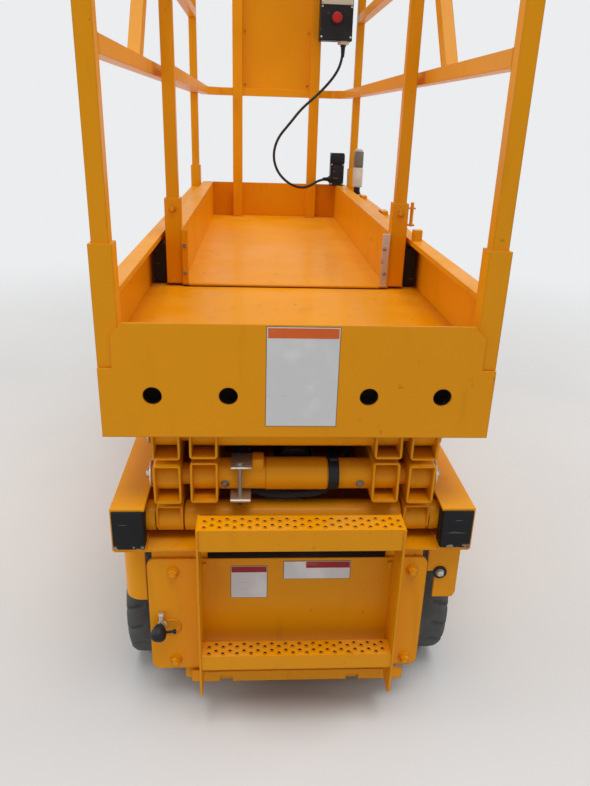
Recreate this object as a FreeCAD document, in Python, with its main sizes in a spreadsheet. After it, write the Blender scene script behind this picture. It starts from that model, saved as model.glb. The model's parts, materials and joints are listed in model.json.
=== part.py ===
import FreeCAD, Part
import math
import os
import re

import Sketcher

# Electric scissor lift: a chassis with steered far wheels, three pairs of crossed arms,
# and a platform with guard rails and a deck extension that rolls out. Millimetres, degrees.
# +X is the right-hand side, -Y the ladder end, +Z up; the origin lies on the floor, mid-way
# between the ladder's front and the platform's far end.

V = FreeCAD.Vector
doc = FreeCAD.newDocument("ScissorLift")

# Driving dimensions: name, value, what it is
DIMENSIONS = [
    ("platform_length", 2240, "platform, end plate to the extension's far wall"),
    ("platform_width", 810, "platform and chassis overall"),
    ("ladder_reach", 70, "ladder in front of the end plate"),
    ("plate", 4, "bent sheet of toe boards, covers and bay floors"),
    ("thick_plate", 6, "end plate, bulkheads and chassis plates"),
    ("thin_sheet", 3, "turned-down edges and the rail panel"),
    ("pin_fit", 0.3, "running clearance of a pin or roller, on the radius"),
    ("running_gap", 5, "between pieces that pass each other"),
    ("deck_z", 890, "standing surface above the floor"),
    ("deck_sheet", 3, "deck plate"),
    ("frame_height", 151, "platform side member, with the deck"),
    ("frame_sheet", 5, "platform side member"),
    ("frame_flange", 30, "platform side member's foot"),
    ("track_length", 1243, "roller track, back from the main deck's far end"),
    ("rib_depth", 25, "ribs under the deck"),
    ("rib_width", 30, "ribs under the deck"),
    ("rib_spacing", 105, "between the ribs"),
    ("rib_start", 140, "ribs behind the end plate"),
    ("hanger_width", 80, "plates that carry the platform's pins"),
    ("end_plate_top", 984, "top of the end plate's upper part"),
    ("end_plate_step", 29, "end plate's upper part in from the side"),
    ("end_plate_corner", 25, "end plate's cut upper corners"),
    ("end_hole", 39, "round hole in the end plate"),
    ("end_hole_inset", 106, "outer holes in from the side"),
    ("end_hole_pair", 154, "between a side's two holes"),
    ("end_hole_z", 831, "holes above the floor"),
    ("toe_height", 146, "toe board above the deck"),
    ("toe_flange", 40, "toe board's top flange"),
    ("toe_lip", 14, "turned-down edge of a top flange"),
    ("socket_width", 25, "square socket of the deck lock"),
    ("socket_height", 32, "square socket of the deck lock"),
    ("socket_setback", 710, "deck lock's socket from the near end"),
    ("cleat_length", 60, "cleats on the right toe board"),
    ("cleat_height", 14, "cleats on the right toe board"),
    ("sleeve", 45, "post sleeve, square"),
    ("sleeve_height", 244, "post sleeve above the deck"),
    ("post", 33, "guard rail tube, square"),
    ("rail_top_z", 1990, "top of the guard rails"),
    ("mid_rail_share", 53, "mid-rail, percent of the rails' height above the deck"),
    ("upper_rail_share", 81, "upper mid-rail, percent of that height"),
    ("strut_setback", 530, "foot of the inclined strut from the near end"),
    ("strut_lean", 395, "how far the strut leans over"),
    ("strut_width", 48, "strut, measured level"),
    ("ext_inset", 103, "extension's walls in from the side"),
    ("ext_setback", 709, "extension's near edge from the near end"),
    ("ext_post_inset", 8, "extension's near posts from its near edge"),
    ("ext_wall_height", 158, "extension wall above its deck"),
    ("ext_flange", 50, "extension wall's top flange"),
    ("ext_rail_share", 52.3, "extension's mid-rail, percent of that height"),
    ("ext_inner_post_x", 180, "inner far posts from the middle"),
    ("slide_width", 40, "slide strips under the extension"),
    ("slide_inset", 20, "slide strips in from the extension's walls"),
    ("rail_bend", 50, "cut corner of the extension's rails"),
    ("control_width", 145, "control box"),
    ("control_depth", 70, "control box"),
    ("control_height", 269, "control box"),
    ("hook_width", 50, "hook of the control box"),
    ("gland", 26, "cable gland"),
    ("gland_length", 22, "cable gland"),
    ("stop_rise", 89, "stop button above the control box's underside"),
    ("stop", 44, "stop button"),
    ("cable", 12, "control cable"),
    ("cable_socket_width", 64, "cable socket"),
    ("cable_socket_height", 150, "cable socket"),
    ("cable_socket_depth", 58, "cable socket"),
    ("switch_width", 42, "switch box on the right toe board"),
    ("switch_length", 55, "switch box"),
    ("switch_height", 200, "switch box"),
    ("switch_setback", 188, "switch box from the main deck's far end"),
    ("arm_height", 97, "arm tube, upright"),
    ("arm_width", 60, "arm tube, across"),
    ("arm_wall", 5, "arm tube"),
    ("arm_corner", 8, "rounded edges of an arm tube"),
    ("arm_gap", 20, "between an outer arm and its inner one"),
    ("arm_inset", 125, "centre of the outer arms in from the side"),
    ("arm_nose", 52, "square arm end beyond its pin"),
    ("arm_pitch", 108.5, "height between the pins of two pairs, lowered"),
    ("low_pin_z", 507.5, "lowest pins above the floor"),
    ("pin_inset", 70, "near pins behind the end plate"),
    ("end_pin", 50, "end pins"),
    ("centre_pin", 44, "centre pins"),
    ("cross_tube", 70, "tubes round the pins, and bosses in the arms"),
    ("roller", 90, "rollers in the channels"),
    ("roller_width", 50, "rollers, across"),
    ("roller_axle", 40, "roller axles"),
    ("roller_inset", 83.14, "far pins, lowered, from the chassis end"),
    ("channel_z", 457, "underside of the chassis side channels"),
    ("channel_height", 106, "chassis side channels"),
    ("channel_depth", 75, "chassis side channels, across"),
    ("channel_wall", 5, "chassis side channels"),
    ("chassis_short", 30, "chassis shorter than the platform at the far end"),
    ("tub_inset", 149, "chassis tub in from the side"),
    ("tub_z", 130, "underside of the chassis tub"),
    ("spine_half", 95, "half width between the steered wheels"),
    ("near_axle_setback", 262, "near axle from the near end"),
    ("far_axle_setback", 225, "far axle from the chassis's far end"),
    ("wheel", 380, "tyre diameter"),
    ("tyre_width", 127, "tyre"),
    ("tyre_shoulder", 16, "tyre's cut shoulders"),
    ("rim", 240, "tyre's inside diameter"),
    ("rim_edge", 12, "rim's outer ring"),
    ("rim_dish", 30, "depth of the rim's dish"),
    ("hub", 92, "wheel hub"),
    ("axle", 44, "stub axles and spindles"),
    ("kingpin", 24, "kingpins"),
    ("kingpin_inset", 170, "kingpins in from the side"),
    ("yoke_half", 60, "half height inside the axle's yokes"),
    ("yoke_plate", 14, "plates of the axle's yokes"),
    ("steer_arm", 76, "steering arm, kingpin to rod"),
    ("steer_rod", 20, "steering rod"),
    ("steer_rise", 52, "steering rod above the axle"),
    ("steer_barrel", 44, "steering cylinder"),
    ("cylinder_eye", 700, "rod eye from the top inner pair's centre"),
    ("barrel", 90, "lift cylinder barrel"),
    ("rod", 50, "lift cylinder rod"),
    ("rod_showing", 532, "rod outside the barrel, lowered, to its eye"),
    ("ear", 100, "ears at the lift cylinder's rod eye"),
    ("ear_plate", 15, "ears at the rod eye"),
    ("eye_pin", 40, "pin of the rod eye"),
    ("ladder_inset", 180, "ladder's outer faces in from the side"),
    ("ladder_shift", 11, "ladder's middle to the right of the machine's"),
    ("ladder_sheet", 5, "ladder sides"),
    ("ladder_foot_z", 88, "ladder above the floor"),
    ("upper_step_z", 552, "upper step"),
    ("lower_step_z", 212, "lower step"),
    ("step_depth", 60, "steps, front to back"),
    ("lower_step_depth", 50, "lower step, front to back"),
    ("upper_step_lip", 53, "upper step's front"),
    ("lower_step_lip", 39, "lower step's front"),
    ("cover_inset", 80, "chassis end cover in from the side"),
    ("cover_shift", 10, "end cover's middle to the left of the machine's"),
    ("cover_z", 104, "foot of the end cover"),
    ("cover_top", 424, "top of the end cover"),
    ("cover_round", 20, "cover's rounded corners"),
    ("knob", 30, "cover's pull knob"),
    ("knob_inset", 26, "cover's knob from its edge"),
    ("knob_z", 233, "cover's knob above the floor"),
    ("pad_width", 41, "roll-out deck's guide pad, across"),
    ("pad_length", 40, "guide pad along the deck"),
    ("pad_height", 112, "guide pad"),
    ("foot_drop", 62, "chassis foot below the tub"),
    ("foot_notch", 30, "notches in the chassis foot"),
    ("notch_x", 156, "notches from the middle"),
    ("guard_drop", 150, "wheel guards below the channels"),
    ("guard_round", 40, "left wheel guard's outer edge"),
    ("bay_rise", 30, "bay floors above the tub's underside"),
    ("bay_gap", 20, "near bulkhead behind the near wheels"),
    ("bay_end_gap", 90, "far bulkhead before the far wheels"),
    ("pack_gap", 120, "battery and hydraulic packs from the bulkheads"),
    ("battery_height", 200, "battery and hydraulic packs"),
    ("door_fold", 10, "folded edges of a side door"),
    ("hinge", 12, "door hinge"),
    ("guard_width", 100, "pothole guards"),
    ("guard_pin", 16, "pothole guards' hinge bar"),
]

sheet = doc.addObject("Spreadsheet::Sheet", "Dims")
for row, (alias, value, note) in enumerate(DIMENSIONS, start=1):
    sheet.set("A%d" % row, alias)
    sheet.set("B%d" % row, str(value))
    sheet.set("C%d" % row, note)
    sheet.setAlias("B%d" % row, alias)
doc.recompute()
ALIASES = {alias for alias, value, note in DIMENSIONS}

# Places worked out from the driving dimensions
PLACES = {
    "half_width": "platform_width / 2",
    "near_y": "(ladder_reach - platform_length) / 2",
    "far_y": "(ladder_reach + platform_length) / 2",
    "main_far_y": "far_y - plate - 8",
    "frame_z": "deck_z - frame_height",
    "deck_under": "deck_z - deck_sheet",
    "toe_z": "deck_z + toe_height",
    "post_x": "half_width - sleeve / 2",
    "near_post_y": "near_y + thick_plate + sleeve / 2",
    "far_post_y": "main_far_y - sleeve / 2",
    "sleeve_z": "deck_z + sleeve_height",
    "top_rail_z": "rail_top_z - post / 2",
    "mid_rail_z": "deck_z + (rail_top_z - deck_z) * mid_rail_share / 100",
    "upper_mid_rail_z": "deck_z + (rail_top_z - deck_z) * upper_rail_share / 100",
    "ext_mid_rail_z": "deck_z + (rail_top_z - deck_z) * ext_rail_share / 100",
    "strut_y": "near_y + strut_setback",
    "end_plate_half": "half_width - end_plate_step",
    "end_hole_outer": "half_width - end_hole_inset",
    "end_hole_inner": "end_hole_outer - end_hole_pair",
    "ext_inner_half": "half_width - ext_inset",
    "ext_near_y": "near_y + ext_setback",
    "ext_under": "deck_z + running_gap",
    "ext_z": "ext_under + deck_sheet",
    "ext_wall_z": "ext_z + ext_wall_height",
    "ext_post_x": "ext_inner_half + plate + sleeve / 2",
    "ext_post_y": "ext_near_y + ext_post_inset + sleeve / 2",
    "ext_end_post_y": "far_y - plate - sleeve / 2",
    "ext_half": "ext_inner_half + ext_flange",
    "control_x": "ext_post_x + 6.5",
    "control_y": "ext_end_post_y - sleeve / 2",
    "control_top": "top_rail_z - post / 2 - 2",
    "control_foot_z": "control_top - control_height",
    "stop_x": "control_x - control_width / 2",
    "stop_z": "control_foot_z + stop_rise",
    "gland_x": "control_x - 35",
    "gland_y": "control_y - 40",
    "gland_z": "control_foot_z - gland_length",
    "cable_end_z": "ext_wall_z + 29",
    "lock_y": "near_y + socket_setback",
    "pin_y": "near_y + pin_inset",
    "roller_y": "chassis_far_y - roller_inset",
    "arm_reach": "roller_y - pin_y",
    "arm_length": "sqrt(arm_reach ^ 2 + arm_pitch ^ 2)",
    "rest_angle": "atan(arm_pitch / arm_reach)",
    "middle_y": "pin_y + arm_reach / 2",
    "arm_outer_x": "half_width - arm_inset",
    "arm_inner_x": "arm_outer_x - arm_width - arm_gap",
    "arm_outer_face": "arm_outer_x + arm_width / 2",
    "arm_inner_face": "arm_inner_x - arm_width / 2",
    "top_pin_z": "low_pin_z + 3 * arm_pitch",
    "track_z": "top_pin_z - roller / 2 - pin_fit",
    "chassis_far_y": "far_y - chassis_short",
    "channel_x": "half_width - channel_depth",
    "roller_x": "half_width - channel_wall - 14 - roller_width / 2",
    "wheel_x": "half_width - tyre_width / 2",
    "wheel_z": "wheel / 2",
    "near_axle_y": "near_y + near_axle_setback",
    "far_axle_y": "chassis_far_y - far_axle_setback",
    "kingpin_x": "half_width - kingpin_inset",
    "beam_half": "kingpin_x - 70",
    "eye_y": "middle_y + cylinder_eye * arm_reach / arm_length",
    "eye_z": "low_pin_z + 2.5 * arm_pitch - cylinder_eye * arm_pitch / arm_length",
    "base_eye_z": "low_pin_z + arm_pitch",
    "cylinder_length": "sqrt((eye_y - pin_y) ^ 2 + (eye_z - base_eye_z) ^ 2)",
    "cylinder_angle": "atan((eye_z - base_eye_z) / (eye_y - pin_y))",
    "barrel_length": "cylinder_length - rod_showing",
    "eye_half": "barrel / 2 - 5",
    "ladder_front_y": "near_y - ladder_reach",
    "ladder_half": "half_width - ladder_inset",
    "cover_left": "cover_inset - half_width - cover_shift",
    "cover_right": "half_width - cover_inset - cover_shift",
    "cover_y": "near_y + 15",
    "tub_half": "half_width - tub_inset",
    "tub_top": "channel_z - thick_plate",
    "tub_near_y": "cover_y + 2 * thick_plate",
    "bay_near_y": "near_axle_y + wheel / 2 + bay_gap",
    "bay_far_y": "far_axle_y - wheel / 2 - bay_end_gap",
    "bay_z": "tub_z + bay_rise",
    "guard_pin_z": "bay_z - guard_pin / 2 - pin_fit",
    "guard_pin_x": "half_width - 28",
    "door_near_y": "bay_near_y + thick_plate + 8",
    "door_x": "half_width - plate",
    "hinge_x": "half_width - hinge / 2",
    "hinge_y": "door_near_y + hinge / 2",
}

WORD = re.compile(r"[a-z_]+[a-z_0-9]*")


def bound(formula):
    """The formula with its names as cells of the sheet, places worked out."""
    def cell(match):
        word = match.group()
        if word in ALIASES:
            return "Dims." + word
        if word in PLACES:
            return "(" + bound(PLACES[word]) + ")"
        return word
    return WORD.sub(cell, str(formula))


def size(formula):
    """The number that a formula gives now."""
    answer = sheet.evalExpression(bound(formula))
    return float(getattr(answer, "Value", answer))


def bind(obj, **formulas):
    for name, formula in formulas.items():
        obj.setExpression(name.replace("__", "."), bound(formula))
    return obj


def at(obj, x, y, z):
    return bind(obj, Placement__Base__x=x, Placement__Base__y=y, Placement__Base__z=z)


def box(x0, x1, y0, y1, z0, z1):
    """A block between two corners, each given as a formula."""
    block = doc.addObject("Part::Box", "Block")
    bind(block, Length="(%s) - (%s)" % (x1, x0), Width="(%s) - (%s)" % (y1, y0),
         Height="(%s) - (%s)" % (z1, z0))
    return at(block, x0, y0, z0)


def block(x, y, z, wide, deep, high):
    """A block about the point x, y, standing on z."""
    return box("%s - (%s) / 2" % (x, wide), "%s + (%s) / 2" % (x, wide),
               "%s - (%s) / 2" % (y, deep), "%s + (%s) / 2" % (y, deep), z, "%s + %s" % (z, high))


AXES = {"X": V(1, 0, 0), "Y": V(0, 1, 0), "Z": V(0, 0, 1)}


def rod(axis, diameter, start, end, u, v):
    """A round bar along an axis; u and v are its other two places, in X, Y, Z order."""
    bar = doc.addObject("Part::Cylinder", "Bar")
    bar.Placement.Rotation = FreeCAD.Rotation(V(0, 0, 1), AXES[axis])
    bind(bar, Radius="(%s) / 2" % diameter, Height="(%s) - (%s)" % (end, start))
    place = {"X": (start, u, v), "Y": (u, start, v), "Z": (u, v, start)}[axis]
    return at(bar, *place)


def ring(axis, outer, inner, start, end, u, v):
    return cut(rod(axis, outer, start, end, u, v),
               rod(axis, inner, "(%s) - 1" % start, "(%s) + 1" % end, u, v))


def fuse(*shapes):
    if len(shapes) == 1:
        return shapes[0]
    whole = doc.addObject("Part::MultiFuse", "Joined")
    whole.Shapes = list(shapes)
    whole.Refine = True
    return whole


def apart(*shapes):
    """Solids that don't touch, kept as one piece."""
    group = doc.addObject("Part::Compound", "Set")
    group.Links = list(shapes)
    return group


def cut(base, *tools):
    result = doc.addObject("Part::Cut", "Cut")
    result.Base = base
    result.Tool = fuse(*tools)
    return result


def mirrored(shape):
    """The same piece on the other side."""
    copy = doc.addObject("Part::Mirroring", "Mirrored")
    copy.Source = shape
    copy.Normal = V(1, 0, 0)
    return copy


def rounded(shape, axis, radius):
    """The shape with its straight edges along an axis rounded."""
    doc.recompute()
    numbers = []
    for number, edge in enumerate(shape.Shape.Edges, start=1):
        along = edge.Vertexes[-1].Point - edge.Vertexes[0].Point
        if along.Length > 0 and abs(along.dot(AXES[axis])) > 0.999 * along.Length:
            numbers.append(number)
    soft = doc.addObject("Part::Fillet", "Rounded")
    soft.Base = shape
    soft.Edges = [(number, size(radius), size(radius)) for number in numbers]
    return soft


def outline(sketch, points):
    """A closed outline of straight lines, every corner bound to its two formulas."""
    corners = [V(size(u), size(v), 0) for u, v in points]
    last = len(corners) - 1
    for i, corner in enumerate(corners):
        following = corners[0 if i == last else i + 1]
        sketch.addGeometry(Part.LineSegment(corner, following))
    for i in range(len(corners)):
        sketch.addConstraint(Sketcher.Constraint("Coincident", i, 2, 0 if i == last else i + 1, 1))
    for i, (u, v) in enumerate(points):
        for kind, formula, value in (("DistanceX", u, corners[i].x), ("DistanceY", v, corners[i].y)):
            number = sketch.addConstraint(Sketcher.Constraint(kind, -1, 1, i, 1, value))
            sketch.setExpression("Constraints[%d]" % number, bound(formula))
    return sketch


PLANES = {
    "X": FreeCAD.Rotation(V(0, 1, 0), V(0, 0, 1), V(1, 0, 0), "ZXY"),
    "Y": FreeCAD.Rotation(V(1, 0, 0), V(0, 0, 1), V(0, -1, 0), "ZXY"),
    "Z": FreeCAD.Rotation(),
}


def prism(axis, start, end, points):
    """An outline across an axis, drawn out from start to end."""
    sketch = outline(doc.addObject("Sketcher::SketchObject", "Outline"), points)
    sketch.Placement.Rotation = PLANES[axis]
    foot = end if axis == "Y" else start
    bind(sketch, **{"Placement__Base__" + axis.lower(): foot})
    solid = doc.addObject("Part::Extrusion", "Prism")
    solid.Base = sketch
    solid.DirMode = "Normal"
    solid.Solid = True
    return bind(solid, LengthFwd="(%s) - (%s)" % (end, start))


def turned(name, profile, x, y, z, flip):
    """A body turned about the X axis; the profile is (along the axis, radius)."""
    body = doc.addObject("PartDesign::Body", name)
    sketch = body.newObject("Sketcher::SketchObject", name + "_profile")
    plane = [f for f in body.Origin.OriginFeatures if f.Role == "XY_Plane"][0]
    sketch.AttachmentSupport = [(plane, "")]
    sketch.MapMode = "FlatFace"
    outline(sketch, profile)
    turn = body.newObject("PartDesign::Revolution", name + "_turn")
    turn.Profile = sketch
    turn.ReferenceAxis = (sketch, ["H_Axis"])
    turn.Angle = 360
    if flip:
        body.Placement.Rotation = FreeCAD.Rotation(V(0, 0, 1), 180)
    return at(body, x, y, z)


NODES = []


def node(name, shape):
    """Names a finished sub-part."""
    shape.Label = name
    NODES.append(shape)
    return shape


SIDES = (("left", -1), ("right", 1))


def both(name, shape):
    """The right-hand piece and its mirror image, as two sub-parts."""
    node(name + "_right", shape)
    node(name + "_left", mirrored(shape))


# Chassis

def side_channel():
    """One side channel, open towards the middle."""
    top = "channel_z + channel_height"
    web = box("half_width - channel_wall", "half_width", "near_y", "chassis_far_y", "channel_z", top)
    foot = box("channel_x", "half_width", "near_y", "chassis_far_y", "channel_z",
               "channel_z + channel_wall")
    head = box("channel_x", "half_width", "near_y", "chassis_far_y", top + " - channel_wall", top)
    return fuse(web, foot, head)


def tub():
    """The trough between the wheels, with the near wheels' stub axles."""
    far = "bay_far_y + thick_plate"
    wall = box("tub_half - thick_plate", "tub_half", "tub_near_y", far, "tub_z", "tub_top")
    floor = box("-tub_half", "tub_half", "tub_near_y", far, "tub_z", "tub_z + thick_plate")
    far_wall = box("-tub_half", "tub_half", "bay_far_y", far, "tub_z", "tub_top")
    stub = rod("X", "axle", "tub_half - thick_plate", "wheel_x", "near_axle_y", "wheel_z")
    node("chassis_tub", fuse(wall, mirrored(wall), floor, far_wall, stub, mirrored(stub)))


def nose():
    """The wall behind the end cover, with its foot's lip and two notches."""
    front, back = "cover_y + thick_plate", "tub_near_y"
    foot_z = "tub_z - foot_drop"
    wall = box("cover_left + 12", "cover_right - 12", front, back, "cover_z + 10", "tub_top")
    skirt = box("-tub_half", "tub_half", front, back, foot_z, "cover_z + 10")
    ledge = box("-tub_half + 16", "tub_half + 24", "near_y + thick_plate", back, foot_z,
                foot_z + " + thick_plate")
    lip = box("-tub_half + 16", "tub_half + 24", "near_y + thick_plate", "near_y + 2 * thick_plate",
              foot_z, "cover_z - running_gap")
    notches = [block("%d * notch_x" % side, "near_y + thick_plate", foot_z + " - 1", "foot_notch",
                     "2 * thick_plate + 4", "thick_plate + 9") for name, side in SIDES]
    node("chassis_nose", cut(fuse(wall, skirt, ledge, lip), *notches))


def plates_and_bulkheads():
    """Flat plates over the wheels, and cross plates that close the side bays."""
    edge = "half_width - 2"
    node("chassis_top_plates", apart(
        box("-(%s)" % edge, edge, "near_y + 4", "bay_near_y + thick_plate", "tub_top", "channel_z"),
        box("-(%s)" % edge, edge, "bay_far_y", "chassis_far_y", "tub_top", "channel_z")))
    bulkheads = []
    for y in ("bay_near_y", "bay_far_y"):
        right = box("tub_half", "half_width - 6", y, y + " + thick_plate", "bay_z", "tub_top")
        bulkheads += [right, mirrored(right)]
    node("bay_bulkheads", apart(*bulkheads))
    floor = box("tub_half", "half_width - 18", "bay_near_y + thick_plate", "bay_far_y", "bay_z",
                "bay_z + plate")
    node("bay_floors", apart(floor, mirrored(floor)))


def beam_section(clearance):
    """The steered axle's beam where it passes through the spine."""
    return box("-beam_half", "beam_half", "far_axle_y - 38 - %s" % clearance,
               "far_axle_y + 38 + %s" % clearance, "wheel_z - yoke_half - %s" % clearance,
               "wheel_z + yoke_half + %s" % clearance)


def spine():
    """The narrow trough between the steered wheels, closed by the far end plate."""
    start, low = "bay_far_y + thick_plate", "tub_z + 10"
    wall = box("spine_half - thick_plate", "spine_half", start, "chassis_far_y - thick_plate", low,
               "tub_top")
    floor = box("-spine_half", "spine_half", start, "chassis_far_y - thick_plate", low,
                low + " + thick_plate")
    end = fuse(box("-tub_half + 106", "tub_half - 106", "chassis_far_y - thick_plate",
                   "chassis_far_y", low, "tub_top"),
               box("-half_width + 6", "half_width - 6", "chassis_far_y - thick_plate",
                   "chassis_far_y", "tub_top - 40", "tub_top"))
    rod_window = box("-spine_half - 5", "spine_half + 5", "far_axle_y - steer_arm - 30",
                     "far_axle_y - 38", "wheel_z + steer_rise - 30", "wheel_z + steer_rise + 30")
    node("chassis_spine", cut(fuse(wall, mirrored(wall), floor, end), rod_window,
                              beam_section("pin_fit")))


def axle_beam():
    yokes = []
    reach = "kingpin_x + 26"
    for side in (box("kingpin_x - 100", reach, "far_axle_y - 28", "far_axle_y + 28",
                     "wheel_z + yoke_half", "wheel_z + yoke_half + yoke_plate"),
                 box("kingpin_x - 100", reach, "far_axle_y - 28", "far_axle_y + 28",
                     "wheel_z - yoke_half - yoke_plate", "wheel_z - yoke_half")):
        yokes += [side, mirrored(side)]
    holes = [rod("Z", "kingpin + 2 * pin_fit", "wheel_z - wheel / 4", "wheel_z + wheel / 4",
                 "%d * kingpin_x" % side, "far_axle_y") for name, side in SIDES]
    node("axle_beam", cut(fuse(beam_section("0"), *yokes), *holes))


def pivot_tube():
    """The lowest pin across the chassis, with its distance tubes."""
    web = "half_width - channel_wall"
    inner = rod("X", "cross_tube", "-arm_outer_face + arm_width + 3", "arm_outer_face - arm_width - 3",
                "pin_y", "low_pin_z")
    outer = rod("X", "cross_tube", "arm_outer_face + 3", web, "pin_y", "low_pin_z")
    pin = rod("X", "end_pin", "-(%s)" % web, web, "pin_y", "low_pin_z")
    node("pivot_tube", fuse(inner, outer, mirrored(outer), pin))


def packs():
    low = "bay_z + plate + pin_fit"
    start, end = "bay_near_y + pack_gap", "bay_far_y - pack_gap"
    high = low + " + battery_height"
    node("battery_pack", box("tub_half + 4", "half_width - 30", start, end, low, high))
    node("hydraulic_pack", box("-half_width + 30", "-tub_half - 4", start,
                               "(%s + %s) / 2 + pack_gap" % (start, end), low, high))


def side_door():
    """A side door: sheet with three folded edges, and its hinge bar."""
    far, top = "bay_far_y - running_gap", "channel_z - running_gap"
    fold_x = "door_x - door_fold"
    skin = box("door_x", "half_width", "door_near_y", far, "bay_z", top)
    folds = [box(fold_x, "door_x", far + " - thin_sheet", far, "bay_z", top),
             box(fold_x, "door_x", "hinge_y + 30", far, "bay_z", "bay_z + thin_sheet"),
             box(fold_x, "door_x", "hinge_y + 30", far, top + " - thin_sheet", top)]
    bar = rod("Z", "hinge", "bay_z", "channel_z - pin_fit", "hinge_x", "hinge_y")
    return fuse(skin, bar, *folds)


def pothole_guard():
    """A long flap folded up under a side bay."""
    near, far = "bay_near_y + 8", "bay_far_y - 4"
    flap = box("guard_pin_x - guard_width", "guard_pin_x", near, far, "guard_pin_z - 3",
               "guard_pin_z + 3")
    return fuse(flap, rod("Y", "guard_pin", near, far, "guard_pin_x", "guard_pin_z"))


def end_cover():
    """Cover over the chassis end, its corners rounded, and its pull knob on a stem."""
    plate = box("cover_left", "cover_right", "cover_y", "cover_y + thick_plate", "cover_z", "cover_top")
    x = "cover_left + knob_inset"
    stem = rod("Y", "knob / 2", "cover_y - 12", "cover_y", x, "knob_z")
    ball = rod("Y", "knob", "cover_y - 40", "cover_y - 12", x, "knob_z")
    node("chassis_end_cover", rounded(plate, "Y", "cover_round"))
    node("cover_knob", fuse(stem, ball))


def wheel_guards():
    """Brackets in front of the near wheels: the left one bends back, the right one is slotted."""
    front, back = "tub_near_y", "tub_near_y + thick_plate"
    foot, edge = "tub_top - guard_drop", "half_width - 12"
    right = prism("Y", front, back, [
        ("cover_right + 4", "tub_top"), (edge, "tub_top"), (edge, foot + " + 14"),
        (edge + " - 6", foot), ("cover_right + 24", foot), ("cover_right + 24", "tub_top - guard_drop / 2"),
        ("cover_right + 4", "tub_top - guard_drop / 2")])
    flat = box("-(%s) + guard_round" % edge, "cover_left - 4", front, back, foot, "tub_top")
    bend = ring("Z", "2 * guard_round", "2 * (guard_round - thick_plate)", foot, "tub_top",
                "-(%s) + guard_round" % edge, front + " + guard_round")
    away = [box("-(%s) + guard_round" % edge, "guard_round - (%s) + guard_round + 1" % edge, front + " - 1",
                front + " + 2 * guard_round + 1", foot + " - 1", "tub_top + 1"),
            box("-half_width", "guard_round - (%s) + guard_round + 1" % edge, front + " + guard_round",
                front + " + 2 * guard_round + 1", foot + " - 1", "tub_top + 1")]
    node("wheel_guards", apart(right, fuse(flat, cut(bend, *away))))


def step(z, lip, depth):
    """A step: a folded tread between the ladder's sides."""
    left, right = "ladder_shift - ladder_half + ladder_sheet", "ladder_shift + ladder_half - ladder_sheet"
    front, back = "ladder_front_y + 4", "ladder_front_y + 4 + " + depth
    return fuse(
        box(left, right, front, back, z + " - plate", z),
        box(left, right, front, front + " + plate", "%s - %s" % (z, lip), z),
        box(left, right, back + " - plate", back, "%s - %s" % (z, lip), z))


def ladder():
    profile = [
        ("ladder_front_y + 12", "ladder_foot_z"), ("ladder_front_y + 60", "ladder_foot_z"),
        ("cover_y", "cover_z + 13"), ("cover_y", "cover_top - 14"), ("near_y + 4", "cover_top + 6"),
        ("near_y - 2", "upper_step_z"), ("ladder_front_y", "upper_step_z"),
        ("ladder_front_y", "ladder_foot_z + 15")]
    left = prism("X", "ladder_shift - ladder_half", "ladder_shift - ladder_half + ladder_sheet", profile)
    right = prism("X", "ladder_shift + ladder_half - ladder_sheet", "ladder_shift + ladder_half", profile)
    node("ladder", fuse(left, right, step("upper_step_z", "upper_step_lip", "step_depth"),
                        step("lower_step_z", "lower_step_lip", "lower_step_depth")))


def chassis():
    both("side_channel", side_channel())
    tub()
    nose()
    plates_and_bulkheads()
    spine()
    axle_beam()
    pivot_tube()
    packs()
    both("side_door", side_door())
    both("pothole_guard", pothole_guard())
    end_cover()
    wheel_guards()
    ladder()


# Wheels and steering

def wheels():
    half = "tyre_width / 2"
    tyre = [("-tyre_width / 2", "rim / 2"), (half, "rim / 2"), (half, "wheel / 2 - tyre_shoulder"),
            (half + " - tyre_shoulder", "wheel / 2"), ("tyre_shoulder - " + half, "wheel / 2"),
            ("-tyre_width / 2", "wheel / 2 - tyre_shoulder")]
    bore = "axle / 2 + pin_fit"
    dish = half + " - 4 - rim_dish"
    disc = [("4 - " + half, bore), ("pin_fit", bore), ("pin_fit", "0"), (half + " - 14", "0"),
            (half + " - 14", "hub / 2"), (dish, "hub / 2"), (dish, "rim / 2 - rim_edge"),
            (half + " - 4", "rim / 2 - rim_edge"), (half + " - 4", "rim / 2"),
            ("4 - " + half, "rim / 2")]
    for end, y in (("near", "near_axle_y"), ("far", "far_axle_y")):
        for side, sign in SIDES:
            name = "%s_%s" % (end, side)
            place = ("%d * wheel_x" % sign, y, "wheel_z")
            node("tyre_" + name, turned("tyre_" + name, tyre, *place, flip=sign < 0))
            node("rim_" + name, turned("rim_" + name, disc, *place, flip=sign < 0))


def knuckle():
    """A steered wheel's knuckle: an upright on its kingpin, and the wheel's spindle."""
    upright = rod("Z", "kingpin + 22", "wheel_z - yoke_half + pin_fit",
                  "wheel_z + yoke_half - pin_fit", "kingpin_x", "far_axle_y")
    pin = rod("Z", "kingpin", "wheel_z - yoke_half - yoke_plate - 4",
              "wheel_z + yoke_half + yoke_plate + 4", "kingpin_x", "far_axle_y")
    spindle = rod("X", "axle", "kingpin_x", "wheel_x", "far_axle_y", "wheel_z")
    arm = box("kingpin_x - 12", "kingpin_x + 12", "far_axle_y - steer_arm - 16", "far_axle_y",
              "wheel_z + 22", "wheel_z + 34")
    return fuse(upright, pin, spindle, arm)


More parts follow.
